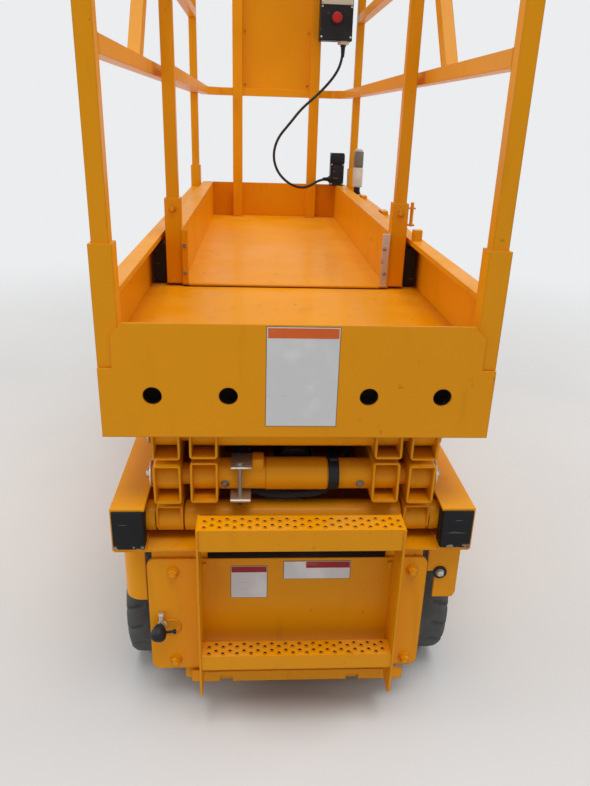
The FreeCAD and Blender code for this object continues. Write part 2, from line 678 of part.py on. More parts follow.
def steering():
    both("knuckle", knuckle())
    y, z = "far_axle_y - steer_arm", "wheel_z + steer_rise"
    barrel = ring("X", "steer_barrel", "steer_rod + 2 * pin_fit", "-80", "80", y, z)
    foot = box("-60", "60", y + " + 16", "far_axle_y - 38", "wheel_z + 10", "wheel_z + yoke_half")
    node("steering_cylinder", fuse(barrel, foot))
    eyes = [rod("Z", "34", z + " - 12", z + " + 12", "%d * kingpin_x" % sign, y)
            for side, sign in SIDES]
    node("steering_rod", fuse(rod("X", "steer_rod", "10 - kingpin_x", "kingpin_x - 10", y, z), *eyes))


# Scissor arms, each pair built level with its lower-end pin at the origin, then tilted

def tilted(shape, low_y, low_z, rising):
    """Lays a level pair at its lowered angle, from the pin at its -Y end."""
    shape.Placement.Rotation = FreeCAD.Rotation(V(1, 0, 0), 3 if rising else -3)
    bind(shape, Placement__Rotation__Angle="rest_angle")
    if not rising:
        shape.Placement.Rotation.Axis = V(-1, 0, 0)
    return at(shape, "0", low_y, low_z)


def arm_tube(x, near, pins):
    """One open tube with rounded edges, and a boss inside it at each pin; near names its -Y end."""
    top, bottom = "arm_height / 2", "-arm_height / 2"
    left, right = x + " - arm_width / 2", x + " + arm_width / 2"
    profile = {"round": [("0", bottom)], "square": [("-arm_nose", bottom)],
               "undercut": [("14 - arm_nose", "-8"), ("46", bottom)]}[near]
    profile += [("arm_length", bottom), ("arm_length", top)]
    profile.append({"round": ("0", top), "square": ("-arm_nose", top),
                    "undercut": ("14 - arm_nose", top)}[near])
    ends = ["arm_length"] + (["0"] if near == "round" else [])
    tube = fuse(rounded(prism("X", left, right, profile), "Y", "arm_corner"),
                *[rod("X", "arm_height", left, right, y, "0") for y in ends])
    hollow = box(left + " + arm_wall", right + " - arm_wall", "-arm_height", "arm_length + arm_height",
                 bottom + " + arm_wall", top + " - arm_wall")
    bosses = [rod("X", "cross_tube", left + " + 1", right + " - 1", y, "0") for y in pins]
    return fuse(cut(tube, hollow), *bosses)


def pair(x, near, pins):
    right = arm_tube(x, near, pins)
    return fuse(right, mirrored(right))


def hole(diameter, y):
    return rod("X", "%s + 2 * pin_fit" % diameter, "-half_width", "half_width", y, "0")


def rollers(y):
    """A roller on each end of a full-width axle."""
    inner, outer = "roller_x - roller_width / 2", "roller_x + roller_width / 2"
    wheel = rod("X", "roller", inner, outer, y, "0")
    return [rod("X", "roller_axle", "-(%s)" % outer, outer, y, "0"), wheel, mirrored(wheel)]


def outer_pair(level, name):
    """A rising pair: its centre stubs reach in through the inner pair."""
    pins = ["0", "arm_length / 2", "arm_length"]
    body = pair("arm_outer_x", "undercut" if level == 0 else "square", pins)
    stub = rod("X", "centre_pin", "arm_inner_face - 6", "arm_outer_x", "arm_length / 2", "0")
    extras = [stub, mirrored(stub)]
    if level == 2:
        extras += rollers("arm_length")
    else:
        reach = "arm_outer_face + 8"
        extras.append(rod("X", "end_pin", "-(%s)" % reach, reach, "arm_length", "0"))
    shape = cut(fuse(body, *extras), hole("end_pin", "0"))
    node(name, tilted(shape, "pin_y", "low_pin_z + %d * arm_pitch" % level, True))


def inner_pair(level, name):
    """A falling pair: the pin at its near end carries the next outer pair."""
    body = pair("arm_inner_x", "round" if level == 2 else "square",
                ["0", "arm_length / 2", "arm_length"])
    reach, face = "arm_outer_face + 8", "arm_inner_face"
    holes = [hole("centre_pin", "arm_length / 2")]
    extras = []
    if level == 0:
        sleeve = rod("X", "cross_tube", "barrel / 2 + 4", face, "0", "0")
        extras += [sleeve, mirrored(sleeve)] + rollers("arm_length")
    else:
        extras.append(rod("X", "cross_tube", "-(%s)" % face, face, "0", "0"))
        holes.append(hole("end_pin", "arm_length"))
    if level == 2:
        holes.append(hole("end_pin", "0"))
        eye_at = "arm_length / 2 + cylinder_eye"
        plate = rod("X", "ear", "barrel / 2 + 2", "barrel / 2 + 2 + ear_plate", eye_at, "0")
        stay = rod("X", "ear - 40", "barrel / 2 + 10", face, eye_at, "0")
        extras += [plate, mirrored(plate), stay, mirrored(stay)]
    else:
        extras.append(rod("X", "end_pin", "-(%s)" % reach, reach, "0", "0"))
    shape = cut(fuse(body, *extras), *holes)
    node(name, tilted(shape, "pin_y", "low_pin_z + %d * arm_pitch" % (level + 1), False))


def lift_cylinder():
    """Barrel and rod, built level with the base eye at the origin, then tilted."""
    bore = "rod + 2"
    tube = cut(fuse(rod("Y", "barrel", "30", "barrel_length", "0", "0"),
                    rod("X", "cross_tube", "-eye_half", "eye_half", "0", "0")),
               rod("X", "end_pin + 2 * pin_fit", "-barrel", "barrel", "0", "0"),
               rod("Y", bore, "70", "barrel_length + 1", "0", "0"))
    collar = ring("Y", "barrel + 12", bore, "barrel_length - 40", "barrel_length", "0", "0")
    eye_end = "cylinder_length"
    face = "barrel / 2 + 2 - pin_fit"
    ram = cut(fuse(rod("Y", "rod", "rod_showing - 60 + 70", eye_end, "0", "0"),
                   rod("X", "ear - 16", "-(%s)" % face, face, eye_end, "0")),
              rod("X", "eye_pin", "-barrel", "barrel", eye_end, "0"))
    for name, shape in (("lift_cylinder_barrel", fuse(tube, collar)), ("lift_cylinder_rod", ram)):
        shape.Placement.Rotation = FreeCAD.Rotation(V(1, 0, 0), 3)
        bind(shape, Placement__Rotation__Angle="cylinder_angle")
        node(name, at(shape, "0", "pin_y", "base_eye_z"))


def scissor():
    for level, word in enumerate(("lower", "middle", "upper")):
        outer_pair(level, word + "_arms_outer")
        inner_pair(level, word + "_arms_inner")
    lift_cylinder()


# Platform

def deck():
    """Main deck with its ribs, its far end, and the plates and pin that carry it."""
    near, far = "near_y + thick_plate", "main_far_y"
    skin = box("-half_width", "half_width", near, far, "deck_under", "deck_z")
    under = "deck_under - rib_depth"
    ribs = [box("%d * rib_spacing - rib_width / 2" % i, "%d * rib_spacing + rib_width / 2" % i,
                "near_y + rib_start", far + " - thick_plate", under, "deck_under")
            for i in (-1, 0, 1)]
    inner = "half_width - frame_sheet"
    end = box("-(%s)" % inner, inner, far + " - thick_plate", far, "frame_z", "deck_under")
    hanger = box("arm_inner_x + arm_width / 2 + 6", "arm_outer_x - arm_width / 2 - 2",
                 "pin_y - hanger_width / 2", "pin_y + hanger_width / 2", "top_pin_z - cross_tube / 2",
                 "deck_under")
    reach = "arm_outer_x - arm_width / 2 - 2"
    pin = rod("X", "end_pin", "-(%s)" % reach, reach, "pin_y", "top_pin_z")
    node("platform_deck", fuse(skin, end, hanger, mirrored(hanger), pin, *ribs))


def platform_side():
    """Side member under the deck, with the track that its roller runs on."""
    near, far = "near_y + thick_plate", "main_far_y"
    web = box("half_width - frame_sheet", "half_width", near, far, "frame_z", "deck_under")
    foot = box("half_width - frame_flange", "half_width", near, far + " - thick_plate", "frame_z",
               "frame_z + frame_sheet")
    track = box("channel_x + 4", "half_width - frame_sheet", "main_far_y - track_length",
                far + " - thick_plate", "track_z - frame_sheet", "track_z")
    return fuse(web, foot, track)


def end_plate():
    plate = prism("Y", "near_y", "near_y + thick_plate", [
        ("-half_width", "frame_z"), ("half_width", "frame_z"), ("half_width", "deck_z"),
        ("end_plate_half", "deck_z"), ("end_plate_half", "end_plate_top - end_plate_corner"),
        ("end_plate_half - end_plate_corner", "end_plate_top"),
        ("-end_plate_half + end_plate_corner", "end_plate_top"),
        ("-end_plate_half", "end_plate_top - end_plate_corner"), ("-end_plate_half", "deck_z"),
        ("-half_width", "deck_z")])
    holes = []
    for x in ("end_hole_inner", "end_hole_outer"):
        for side, sign in SIDES:
            holes.append(rod("Y", "end_hole", "near_y - 1", "near_y + thick_plate + 1",
                             "%d * %s" % (sign, x), "end_hole_z"))
    node("platform_end_plate", cut(plate, *holes))


def toe_board():
    """Side toe board: upright, top flange and turned-down edge."""
    edge = "half_width - toe_flange"
    return prism("Y", "near_post_y + sleeve / 2", "far_post_y - sleeve / 2", [
        ("half_width", "deck_z"), ("half_width", "toe_z"), (edge, "toe_z"),
        (edge, "toe_z - toe_lip"), (edge + " + thin_sheet", "toe_z - toe_lip"),
        (edge + " + thin_sheet", "toe_z - plate"), ("half_width - plate", "toe_z - plate"),
        ("half_width - plate", "deck_z")])


def toe_boards():
    """The right one carries the deck lock's socket and two cleats."""
    plain = toe_board()
    middle = "half_width - toe_flange / 2"
    fittings = [block(middle + " - 4", "lock_y", "toe_z", "socket_width", "socket_width",
                      "socket_height")]
    for share in (0.58, 0.81):
        y = "near_y + %g * platform_length" % share
        fittings.append(block(middle, y, "toe_z", "socket_width", "cleat_length", "cleat_height"))
    node("toe_board_right", fuse(plain, *fittings))
    node("toe_board_left", mirrored(plain))


def square_post(x, y, z0, z1, width):
    return block(x, y, z0, width, width, "(%s) - (%s)" % (z1, z0))


def guard_rail():
    """One side of the main guard rail."""
    half = "post / 2"
    x0, x1 = "post_x - " + half, "post_x + " + half
    pieces = []
    for y in ("near_post_y", "far_post_y"):
        pieces.append(square_post("post_x", y, "deck_z", "sleeve_z", "sleeve"))
        pieces.append(square_post("post_x", y, "sleeve_z", "rail_top_z", "post"))
    for z in ("top_rail_z", "mid_rail_z"):
        pieces.append(box(x0, x1, "near_post_y", "far_post_y", z + " - post / 2", z + " + post / 2"))
    foot, head, wide = "mid_rail_z", "top_rail_z", "strut_width / 2"
    pieces.append(prism("X", x0 + " + 1", x1 + " - 1", [
        ("strut_y - " + wide, foot), ("strut_y + " + wide, foot),
        ("strut_y + strut_lean + " + wide, head), ("strut_y + strut_lean - " + wide, head)]))
    climb = "(upper_mid_rail_z - mid_rail_z) / (top_rail_z - mid_rail_z)"
    pieces.append(box(x0, x1, "strut_y + strut_lean * " + climb, "far_post_y",
                      "upper_mid_rail_z - post / 2", "upper_mid_rail_z + post / 2"))
    return fuse(*pieces)


def platform():
    deck()
    both("platform_side", platform_side())
    end_plate()
    toe_boards()
    both("guard_rail", guard_rail())
    node("end_top_rail", box("-post_x + post / 2", "post_x - post / 2", "near_post_y - post / 2",
                             "near_post_y + post / 2", "top_rail_z - post / 2", "rail_top_z"))
    far = "main_far_y - switch_setback"
    node("switch_box", box("half_width - 2 - switch_width", "half_width - 2",
                           far + " - switch_length", far, "toe_z", "toe_z + switch_height"))


# Deck extension

def extension_deck():
    half = "ext_inner_half + plate"
    skin = box("-(%s)" % half, half, "ext_near_y", "far_y", "ext_under", "ext_z")
    edge = "ext_inner_half - slide_inset"
    strip = box(edge + " - slide_width", edge, "ext_near_y + 60", "main_far_y - 4",
                "deck_z + pin_fit", "ext_under")
    node("extension_deck", fuse(skin, strip, mirrored(strip)))


def extension_walls():
    flange_y, far = "ext_post_y + sleeve / 2 + 2", "far_y - plate"
    wall = box("ext_inner_half", "ext_inner_half + plate", "ext_near_y", far, "ext_z", "ext_wall_z")
    flange = box("ext_inner_half", "ext_half", flange_y, far, "ext_wall_z - plate", "ext_wall_z")
    lip = box("ext_half - thin_sheet", "ext_half", flange_y, far, "ext_wall_z - toe_lip",
              "ext_wall_z")
    far_wall = box("-ext_half", "ext_half", far, "far_y", "ext_z", "ext_wall_z")
    node("extension_walls", fuse(wall, mirrored(wall), flange, mirrored(flange), lip,
                                 mirrored(lip), far_wall))


def guide_pads():
    """Plastic pads on the near posts that guide the roll-out deck under the toe boards' flanges."""
    face, near = "ext_post_x + sleeve / 2", "ext_post_y + 2"
    pad = box(face, face + " + pad_width", near, near + " + pad_length", "deck_z + 2 * pin_fit + 6",
              "deck_z + 2 * pin_fit + 6 + pad_height")
    node("guide_pads", apart(pad, mirrored(pad)))


def u_rail(z):
    """A rail round three sides, its far corners cut."""
    half = "post / 2"
    out_x, in_x = "ext_post_x + " + half, "ext_post_x - " + half
    out_y, in_y = "ext_end_post_y + " + half, "ext_end_post_y - " + half
    near = "ext_post_y"
    return prism("Z", z + " - post / 2", z + " + post / 2", [
        ("-(%s)" % out_x, near), ("-(%s)" % in_x, near), ("-(%s)" % in_x, in_y + " - rail_bend"),
        ("-(%s) + rail_bend" % in_x, in_y), (in_x + " - rail_bend", in_y),
        (in_x, in_y + " - rail_bend"), (in_x, near), (out_x, near),
        (out_x, out_y + " - rail_bend"), (out_x + " - rail_bend", out_y),
        ("-(%s) + rail_bend" % out_x, out_y), ("-(%s)" % out_x, out_y + " - rail_bend")])


def deck_lock():
    """A bracket on the right near post, with the pin that drops beside the socket."""
    face = "ext_post_x + sleeve / 2"
    low, high = "toe_z + 40", "toe_z + 92"
    arms = [box(face, face + " + 24", "ext_post_y - 9", "ext_post_y + 9", z, z + " + plate")
            for z in (low, high + " - plate")]
    return arms + [rod("Z", "10", low + " - 2", high + " + 14", face + " + 15", "ext_post_y")]


def extension_rails():
    step_z = "sleeve_z + 6"
    side = fuse(square_post("ext_post_x", "ext_post_y", "ext_z", step_z, "sleeve"),
                square_post("ext_post_x", "ext_post_y", step_z, "rail_top_z", "post"))
    inner = square_post("ext_inner_post_x", "ext_end_post_y", "ext_z", "rail_top_z", "sleeve")
    edge = "ext_inner_post_x - sleeve / 2"
    panel = box("-(%s)" % edge, edge, "ext_end_post_y", "ext_end_post_y + thin_sheet",
                "ext_mid_rail_z + post / 2", "top_rail_z - post / 2")
    node("extension_rails", fuse(side, mirrored(side), inner, mirrored(inner), panel,
                                 u_rail("ext_mid_rail_z"), u_rail("top_rail_z"), *deck_lock()))


def control_box():
    """The box that hangs on the far top rail by a hook, its gland below and stop button in front."""
    face, top = "control_y", "control_top"
    housing = box("control_x - control_width", "control_x", face + " - control_depth", face,
                  "control_foot_z", top)
    hook_x = "control_x - control_width + 15"
    over = box(hook_x, hook_x + " + hook_width", face + " - 30", "ext_end_post_y + post / 2 + 6",
               "rail_top_z", "rail_top_z + thick_plate")
    leg = box(hook_x, hook_x + " + hook_width", face + " - 30", face, top, "rail_top_z")
    neck = rod("Z", "gland", "gland_z", "control_foot_z", "gland_x", "gland_y")
    node("control_box", fuse(housing, over, leg, neck))
    front = face + " - control_depth"
    node("stop_button", fuse(
        rod("Y", "stop / 2 + 2", front + " - 14", front, "stop_x", "stop_z"),
        rod("Y", "stop", front + " - 32", front + " - 14", "stop_x", "stop_z")))
    right = "control_x + 1"
    node("cable_socket", box(right + " - cable_socket_width", right,
                             "ext_end_post_y + 18 - cable_socket_depth", "ext_end_post_y + 18",
                             "ext_wall_z", "ext_wall_z + cable_socket_height"))


# Control cable, from the gland down in front of the far rails to the socket's left face
CABLE_ROUTE = [
    (300, 1066, 1664), (300, 1066, 1612), (271, 1063, 1545), (198, 1056, 1466), (118, 1050, 1400),
    (66, 1046, 1335), (8, 1045, 1268), (-12, 1048, 1190), (10, 1055, 1116), (64, 1061, 1064),
    (126, 1070, 1042), (176, 1084, 1053), (226, 1100, 1085), (272, 1100, 1085)]


def cable_points():
    """The route, kept between the gland and the socket wherever they are."""
    start, end = V(*CABLE_ROUTE[0]), V(*CABLE_ROUTE[-1])
    low = size("cable_end_z")
    stretch = (size("gland_z") - low) / (start.z - end.z)
    shift = V(size("gland_x") - start.x, size("gland_y") - start.y, 0)
    return [V(x, y, low + (z - end.z) * stretch) + shift for x, y, z in CABLE_ROUTE]


def cable_path(points):
    """Straight runs joined by arcs, each arc as large as its two runs allow; also their radii."""
    edges, radii, start = [], [], points[0]
    for before, corner, after in zip(points, points[1:], points[2:]):
        run_in, run_out = corner - before, after - corner
        setback = 0.45 * min(run_in.Length, run_out.Length)
        radius = setback / math.tan(run_in.getAngle(run_out) / 2)
        run_in.normalize()
        run_out.normalize()
        inward = (run_out - run_in).normalize()
        sagitta = math.hypot(radius, setback) - radius
        first, last = corner - run_in * setback, corner + run_out * setback
        edges.append(Part.LineSegment(start, first).toShape())
        edges.append(Part.Arc(first, corner + inward * sagitta, last).toShape())
        radii.append(radius)
        start = last
    edges.append(Part.LineSegment(start, points[-1]).toShape())
    return Part.Wire(edges), radii


def control_cable():
    points = cable_points()
    path, radii = cable_path(points)
    section = Part.Circle(points[0], points[1] - points[0], size("cable") / 2)
    tube = path.makePipeShell([Part.Wire(section.toShape())], True, False)
    cable = doc.addObject("Part::Feature", "Cable")
    cable.Shape = tube
    node("control_cable", cable)
    full = math.pi * size("cable") ** 2 / 4 * path.Length
    print("cable", round(path.Length), "mm long, radii", [round(radius) for radius in radii])
    print("cable volume over section times length", round(tube.Volume / full, 4))


def extension():
    extension_deck()
    extension_walls()
    extension_rails()
    guide_pads()
    control_box()
    control_cable()


chassis()
wheels()
steering()
scissor()
platform()
extension()

doc.recompute()

faults = [obj.Label for obj in doc.Objects if "Invalid" in obj.State or "Error" in obj.State]
for shape in NODES:
    if shape.Shape.isNull() or not shape.Shape.isValid() or not shape.Shape.Solids:
        faults.append(shape.Label)
if faults:
    raise RuntimeError("failed: " + ", ".join(faults))

os.makedirs("parts", exist_ok=True)
for shape in NODES:
    shape.Shape.exportStep("parts/%s.step" % shape.Label)
whole = Part.makeCompound([shape.Shape for shape in NODES])
print(len(NODES), "sub-parts,", whole.BoundBox)
print("arm length", size("arm_length"), "rest angle", size("rest_angle"))
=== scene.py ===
import json
import math

import bmesh
import bpy
from mathutils import Matrix, Vector


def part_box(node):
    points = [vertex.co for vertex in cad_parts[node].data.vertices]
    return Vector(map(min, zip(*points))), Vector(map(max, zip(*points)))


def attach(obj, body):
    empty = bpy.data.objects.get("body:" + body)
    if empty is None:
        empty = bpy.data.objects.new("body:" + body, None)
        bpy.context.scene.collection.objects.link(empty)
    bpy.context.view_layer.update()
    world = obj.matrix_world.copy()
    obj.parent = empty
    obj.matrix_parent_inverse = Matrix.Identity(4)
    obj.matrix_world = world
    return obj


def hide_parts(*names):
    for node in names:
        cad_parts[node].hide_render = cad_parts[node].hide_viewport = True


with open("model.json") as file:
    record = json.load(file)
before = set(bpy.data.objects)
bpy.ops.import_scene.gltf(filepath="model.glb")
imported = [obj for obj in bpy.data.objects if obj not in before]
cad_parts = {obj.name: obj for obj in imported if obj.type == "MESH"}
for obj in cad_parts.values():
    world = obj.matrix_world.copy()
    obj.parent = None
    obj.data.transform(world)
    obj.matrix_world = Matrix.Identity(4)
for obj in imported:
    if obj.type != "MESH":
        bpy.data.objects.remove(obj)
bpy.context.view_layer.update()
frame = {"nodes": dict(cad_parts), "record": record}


# Camera

def place_camera():
    """The photograph's viewpoint: a person's chest height in front of the ladder."""
    focal_pixels, height_pixels, sensor = 680, 786, 36
    lens = bpy.data.cameras.new("camera")
    lens.sensor_fit = "VERTICAL"
    lens.sensor_height = sensor
    lens.lens = focal_pixels / height_pixels * sensor
    lens.clip_start = 0.02
    camera = bpy.data.objects.new("camera", lens)
    bpy.context.collection.objects.link(camera)
    pitch, yaw, roll = 0.38578, -0.06443, 0.03094
    turn = Matrix.Rotation(yaw, 3, "Z")
    forward = turn @ Vector((0, math.cos(pitch), -math.sin(pitch)))
    right = turn @ Vector((1, 0, 0))
    up = right.cross(forward)
    side = math.cos(roll) * right + math.sin(roll) * up
    top = -math.sin(roll) * right + math.cos(roll) * up
    camera.matrix_world = Matrix.Translation((-0.092, -2.3733, 1.3643)) @ Matrix(
        (side, top, -forward)).transposed().to_4x4()
    bpy.context.scene.camera = camera


place_camera()


# Control cable: out of the gland, down in front of the far rails, into its socket

CABLE_ROUTE = [  # millimetres
    (300, 1066, 1664), (300, 1066, 1612), (271, 1063, 1545), (198, 1056, 1466), (118, 1050, 1400),
    (66, 1046, 1335), (8, 1045, 1268), (-12, 1048, 1190), (10, 1055, 1116), (64, 1061, 1064),
    (126, 1070, 1042), (176, 1084, 1053), (226, 1100, 1085), (272, 1100, 1085)]


def swept(name, points, radius, steps, rounding):
    """A round cord along a smooth line, closed at both ends."""
    curve = bpy.data.curves.new(name, "CURVE")
    curve.dimensions = "3D"
    line = curve.splines.new("NURBS")
    line.points.add(len(points) - 1)
    for point, place in zip(line.points, points):
        point.co = (*place, 1)
        point.radius = radius
    line.order_u = 3
    line.use_endpoint_u = True
    line.resolution_u = steps
    curve.bevel_depth = 1
    curve.bevel_resolution = rounding
    curve.use_fill_caps = True
    made = bpy.data.objects.new(name, curve)
    bpy.context.collection.objects.link(made)
    return made


def control_cable():
    """The cable in place of its plain solid; its finish is given below, with the others."""
    route = [[c / 1000 for c in place] for place in CABLE_ROUTE]
    cable = swept("control_cable_sheath", route, 0.006, 8, 4)
    cable.data.materials.append(None)
    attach(cable, "extension")
    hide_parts("control_cable")
    return cable


cable = control_cable()


# Node graphs

class Value:
    """One socket of a graph. Arithmetic on values adds Math nodes to the graph."""

    def __init__(self, graph, socket):
        self.graph = graph
        self.socket = socket

    def __add__(self, other):
        return self.graph.math("ADD", self, other)

    def __sub__(self, other):
        return self.graph.math("SUBTRACT", self, other)

    def __rsub__(self, other):
        return self.graph.math("SUBTRACT", other, self)

    def __mul__(self, other):
        return self.graph.math("MULTIPLY", self, other)

    def __lt__(self, other):
        return self.graph.math("LESS_THAN", self, other)

    __radd__ = __add__
    __rmul__ = __mul__


class Graph:
    """A node tree, filled by one method for every kind of node."""

    def __init__(self, tree):
        self.tree = tree

    def feed(self, socket, value):
        if isinstance(value, Value):
            self.tree.links.new(value.socket, socket)
        elif value is not None:
            socket.default_value = value

    def node(self, kind, settings=None, out=0, **inputs):
        """Adds a node and gives its output; inputs are named by socket, or i0, i1, ... by place."""
        made = self.tree.nodes.new(kind)
        for name, value in (settings or {}).items():
            setattr(made, name, value)
        for name, value in inputs.items():
            place = int(name[1:]) if name[1:].isdigit() else name.replace("_", " ")
            self.feed(made.inputs[place], value)
        return Value(self, made.outputs[out])

    def math(self, how, *values):
        inputs = {"i%d" % i: value for i, value in enumerate(values)}
        return self.node("ShaderNodeMath", {"operation": how}, **inputs)

    def between(self, value, low, high):
        """0 below low, 1 above high, smooth between."""
        return self.node("ShaderNodeMapRange", {"interpolation_type": "SMOOTHSTEP"}, i0=value,
                         i1=low, i2=high)

    def span(self, value, low, high, blur):
        """1 from low to high and 0 elsewhere, with a blur past both limits."""
        return self.between(value, low, low + blur) - self.between(value, high, high + blur)


def colour(red, green, blue):
    """A screen colour, 0 to 255, as the linear colour that a shader reads."""
    return tuple(((c / 255 + 0.055) / 1.055) ** 2.4 if c > 10 else c / 255 / 12.92
                 for c in (red, green, blue)) + (1,)


def shade(base, share, lift=0.0):
    """A colour made darker or paler."""
    return tuple(min(1, c * share + lift) for c in base[:3]) + (1,)


class Finish(Graph):
    """A material with one Principled shader, its patterns read from Object coordinates."""

    def __init__(self, name, base, rough, **uniform):
        self.material = bpy.data.materials.new(name)
        self.material.use_nodes = True
        Graph.__init__(self, self.material.node_tree)
        self.shader = self.tree.nodes["Principled BSDF"]
        self.tint = base
        self.rough = rough
        self.heights = []
        self.shader.inputs["Base Color"].default_value = base
        self.shader.inputs["Roughness"].default_value = rough
        for socket, value in uniform.items():
            self.shader.inputs[socket.replace("_", " ")].default_value = value
        self.place = self.node("ShaderNodeTexCoord", out="Object")

    def stretched(self, x, y, z):
        return self.node("ShaderNodeMapping", i0=self.place, i3=(x, y, z))

    def noise(self, scale, detail=3.0, place=None):
        return self.node("ShaderNodeTexNoise", i0=place or self.place, Scale=scale, Detail=detail)

    def axis(self, letter, vector=None):
        return self.node("ShaderNodeSeparateXYZ", out=letter, i0=vector or self.place)

    def stain(self, mask, tint):
        """Lays a colour over what is there, where the mask is 1."""
        self.tint = self.node("ShaderNodeMix", {"data_type": "RGBA"}, out=2, i0=mask, i6=self.tint,
                              i7=tint)

    def roughen(self, amount):
        self.rough = amount + self.rough

    def raise_by(self, height):
        self.heights.append(height)

    def done(self, strength=0.3, distance=0.001, edge=0.0):
        """Joins the patterns to the shader; edge is the radius that edges look rounded by."""
        for socket, value in (("Base Color", self.tint), ("Roughness", self.rough)):
            self.feed(self.shader.inputs[socket], value)
        normal = self.node("ShaderNodeBevel", {"samples": 4}, Radius=edge) if edge else None
        if self.heights:
            height = self.heights[0]
            for more in self.heights[1:]:
                height = height + more
            normal = self.node("ShaderNodeBump", Height=height, Strength=strength,
                               Distance=distance, Normal=normal)
        self.feed(self.shader.inputs["Normal"], normal)
        return self.material


def enamel(name, base, edge=0.0045, chips=1.0, bare=None, other=None):
    """Sprayed gloss paint with a little orange peel, dust on top faces, run stains and chips.

    bare gives a mask of bare steel, and other a mask and a colour laid over the paint, on the doors
    the painted shade of the louvre slots.
    """
    paint = Finish(name, base, 0.34, Coat_Weight=0.07, Coat_Roughness=0.10, Specular_IOR_Level=0.13)
    if other:
        paint.stain(other[0](paint), other[1])
    clouds = paint.noise(2.2, 4.0)
    paint.stain(paint.between(clouds, 0.35, 0.7) * 0.30, shade(base, 0.80))
    runs = paint.noise(5.0, 3.0, paint.stretched(4.3, 3.7, 0.8))
    paint.stain(paint.between(runs, 0.56, 0.80) * 0.16, colour(120, 74, 10))
    upward = paint.axis("Z", paint.node("ShaderNodeNewGeometry", out="Normal"))
    dust = paint.between(upward, 0.7, 0.98) * paint.between(paint.noise(7.0, 5.0), 0.4, 0.75)
    paint.stain(dust * 0.10, colour(226, 196, 140))
    grime = paint.between(paint.noise(38.0, 5.0), 0.66, 0.74) * paint.between(clouds, 0.45, 0.6)
    paint.stain(grime * (0.35 * chips), colour(96, 62, 24))
    specks = paint.node("ShaderNodeTexVoronoi", i0=paint.place, Scale=42.0) < 0.045
    chipped = specks * paint.between(paint.noise(5.0), 0.52, 0.6)
    paint.stain(chipped * (0.75 * chips), colour(70, 48, 30))
    paint.roughen(dust * 0.25 + clouds * 0.08 + grime * 0.3)
    if bare:
        steel = bare(paint)
        paint.stain(steel, (0.60, 0.59, 0.56, 1))
        paint.feed(paint.shader.inputs["Metallic"], steel)
    paint.raise_by(paint.noise(240.0, 2.0) * 0.35)
    paint.raise_by(specks * -1.2)
    return paint.done(strength=0.16, distance=0.0006, edge=edge)


def rubber(name, base, scale=60.0):
    """Dull moulded rubber with dust in its texture and scuffed patches."""
    skin = Finish(name, base, 0.78)
    scuffs = skin.noise(14.0, 6.0)
    skin.stain(skin.between(scuffs, 0.45, 0.8) * 0.5, shade(base, 2.1))
    skin.stain(skin.between(skin.noise(scale, 5.0), 0.55, 0.75) * 0.35, shade(base, 0.55))
    skin.roughen(scuffs * 0.12)
    skin.raise_by(skin.noise(scale * 4, 3.0))
    return skin.done(distance=0.0006, edge=0.002)


def plastic(name, base, rough=0.42, edge=0.0015, chipped=None):
    """Moulded plastic with a fine spark texture and small scratches, chipped below a height."""
    skin = Finish(name, base, rough, Specular_IOR_Level=0.3)
    worn = skin.noise(11.0, 5.0)
    skin.stain(skin.between(worn, 0.5, 0.75) * 0.35, shade(base, 1.5, 0.01))
    scratches = skin.noise(30.0, 2.0, skin.stretched(0.4, 6, 6))
    skin.stain(skin.between(scratches, 0.70, 0.73) * 0.4, colour(150, 148, 142))
    if chipped:
        low = 1 - skin.between(skin.axis("Z"), chipped, chipped + 0.008)
        skin.stain(low * skin.between(skin.noise(85.0, 3.0), 0.54, 0.60), colour(158, 146, 126))
    skin.roughen(worn * 0.2)
    skin.raise_by(skin.noise(500.0, 2.0))
    return skin.done(strength=0.12, distance=0.0004, edge=edge)


def steel(name, base, rough, rust):
    """Bare or plated steel with brushed lines and rust starting in spots."""
    skin = Finish(name, base, rough, Metallic=1.0)
    lines = skin.noise(30.0, 3.0, skin.stretched(1, 1, 22))
    skin.stain(skin.between(lines, 0.4, 0.7) * 0.3, shade(base, 0.7))
    spots = skin.between(skin.noise(26.0, 6.0), 0.56, 0.68)
    skin.stain(spots * rust, colour(112, 66, 38))
    skin.roughen(spots * (0.4 * rust) + lines * 0.12)
    skin.feed(skin.shader.inputs["Metallic"], 1.0 - spots * (0.8 * rust))
    skin.raise_by(lines * 0.5 + spots)
    return skin.done(strength=0.15, distance=0.0005, edge=0.0015)


def lock_pin(paint):
    """A mask of the deck lock's bare steel pin, beside the extension's right near post."""
    x, y, radius = 0.366, -0.368, 0.0062
    across, along = paint.axis("X") - x, paint.axis("Y") - y
    return across * across + along * along < radius * radius


def louvre_slot_shade(paint):
    """Two banks of six cooling slots near the ends of a side door, painted dark as the shade inside
    their openings.
    """
    rows = paint.math("PINGPONG", paint.axis("Z") - 0.2, 0.009)
    slots = 1 - paint.between(rows, 0.0022, 0.0034)
    height = paint.span(paint.axis("Z"), 0.2042, 0.3086, 0.0006)
    banks = paint.span(paint.math("ABSOLUTE", paint.axis("Y")), 0.3395, 0.4995, 0.001)
    return slots * height * banks


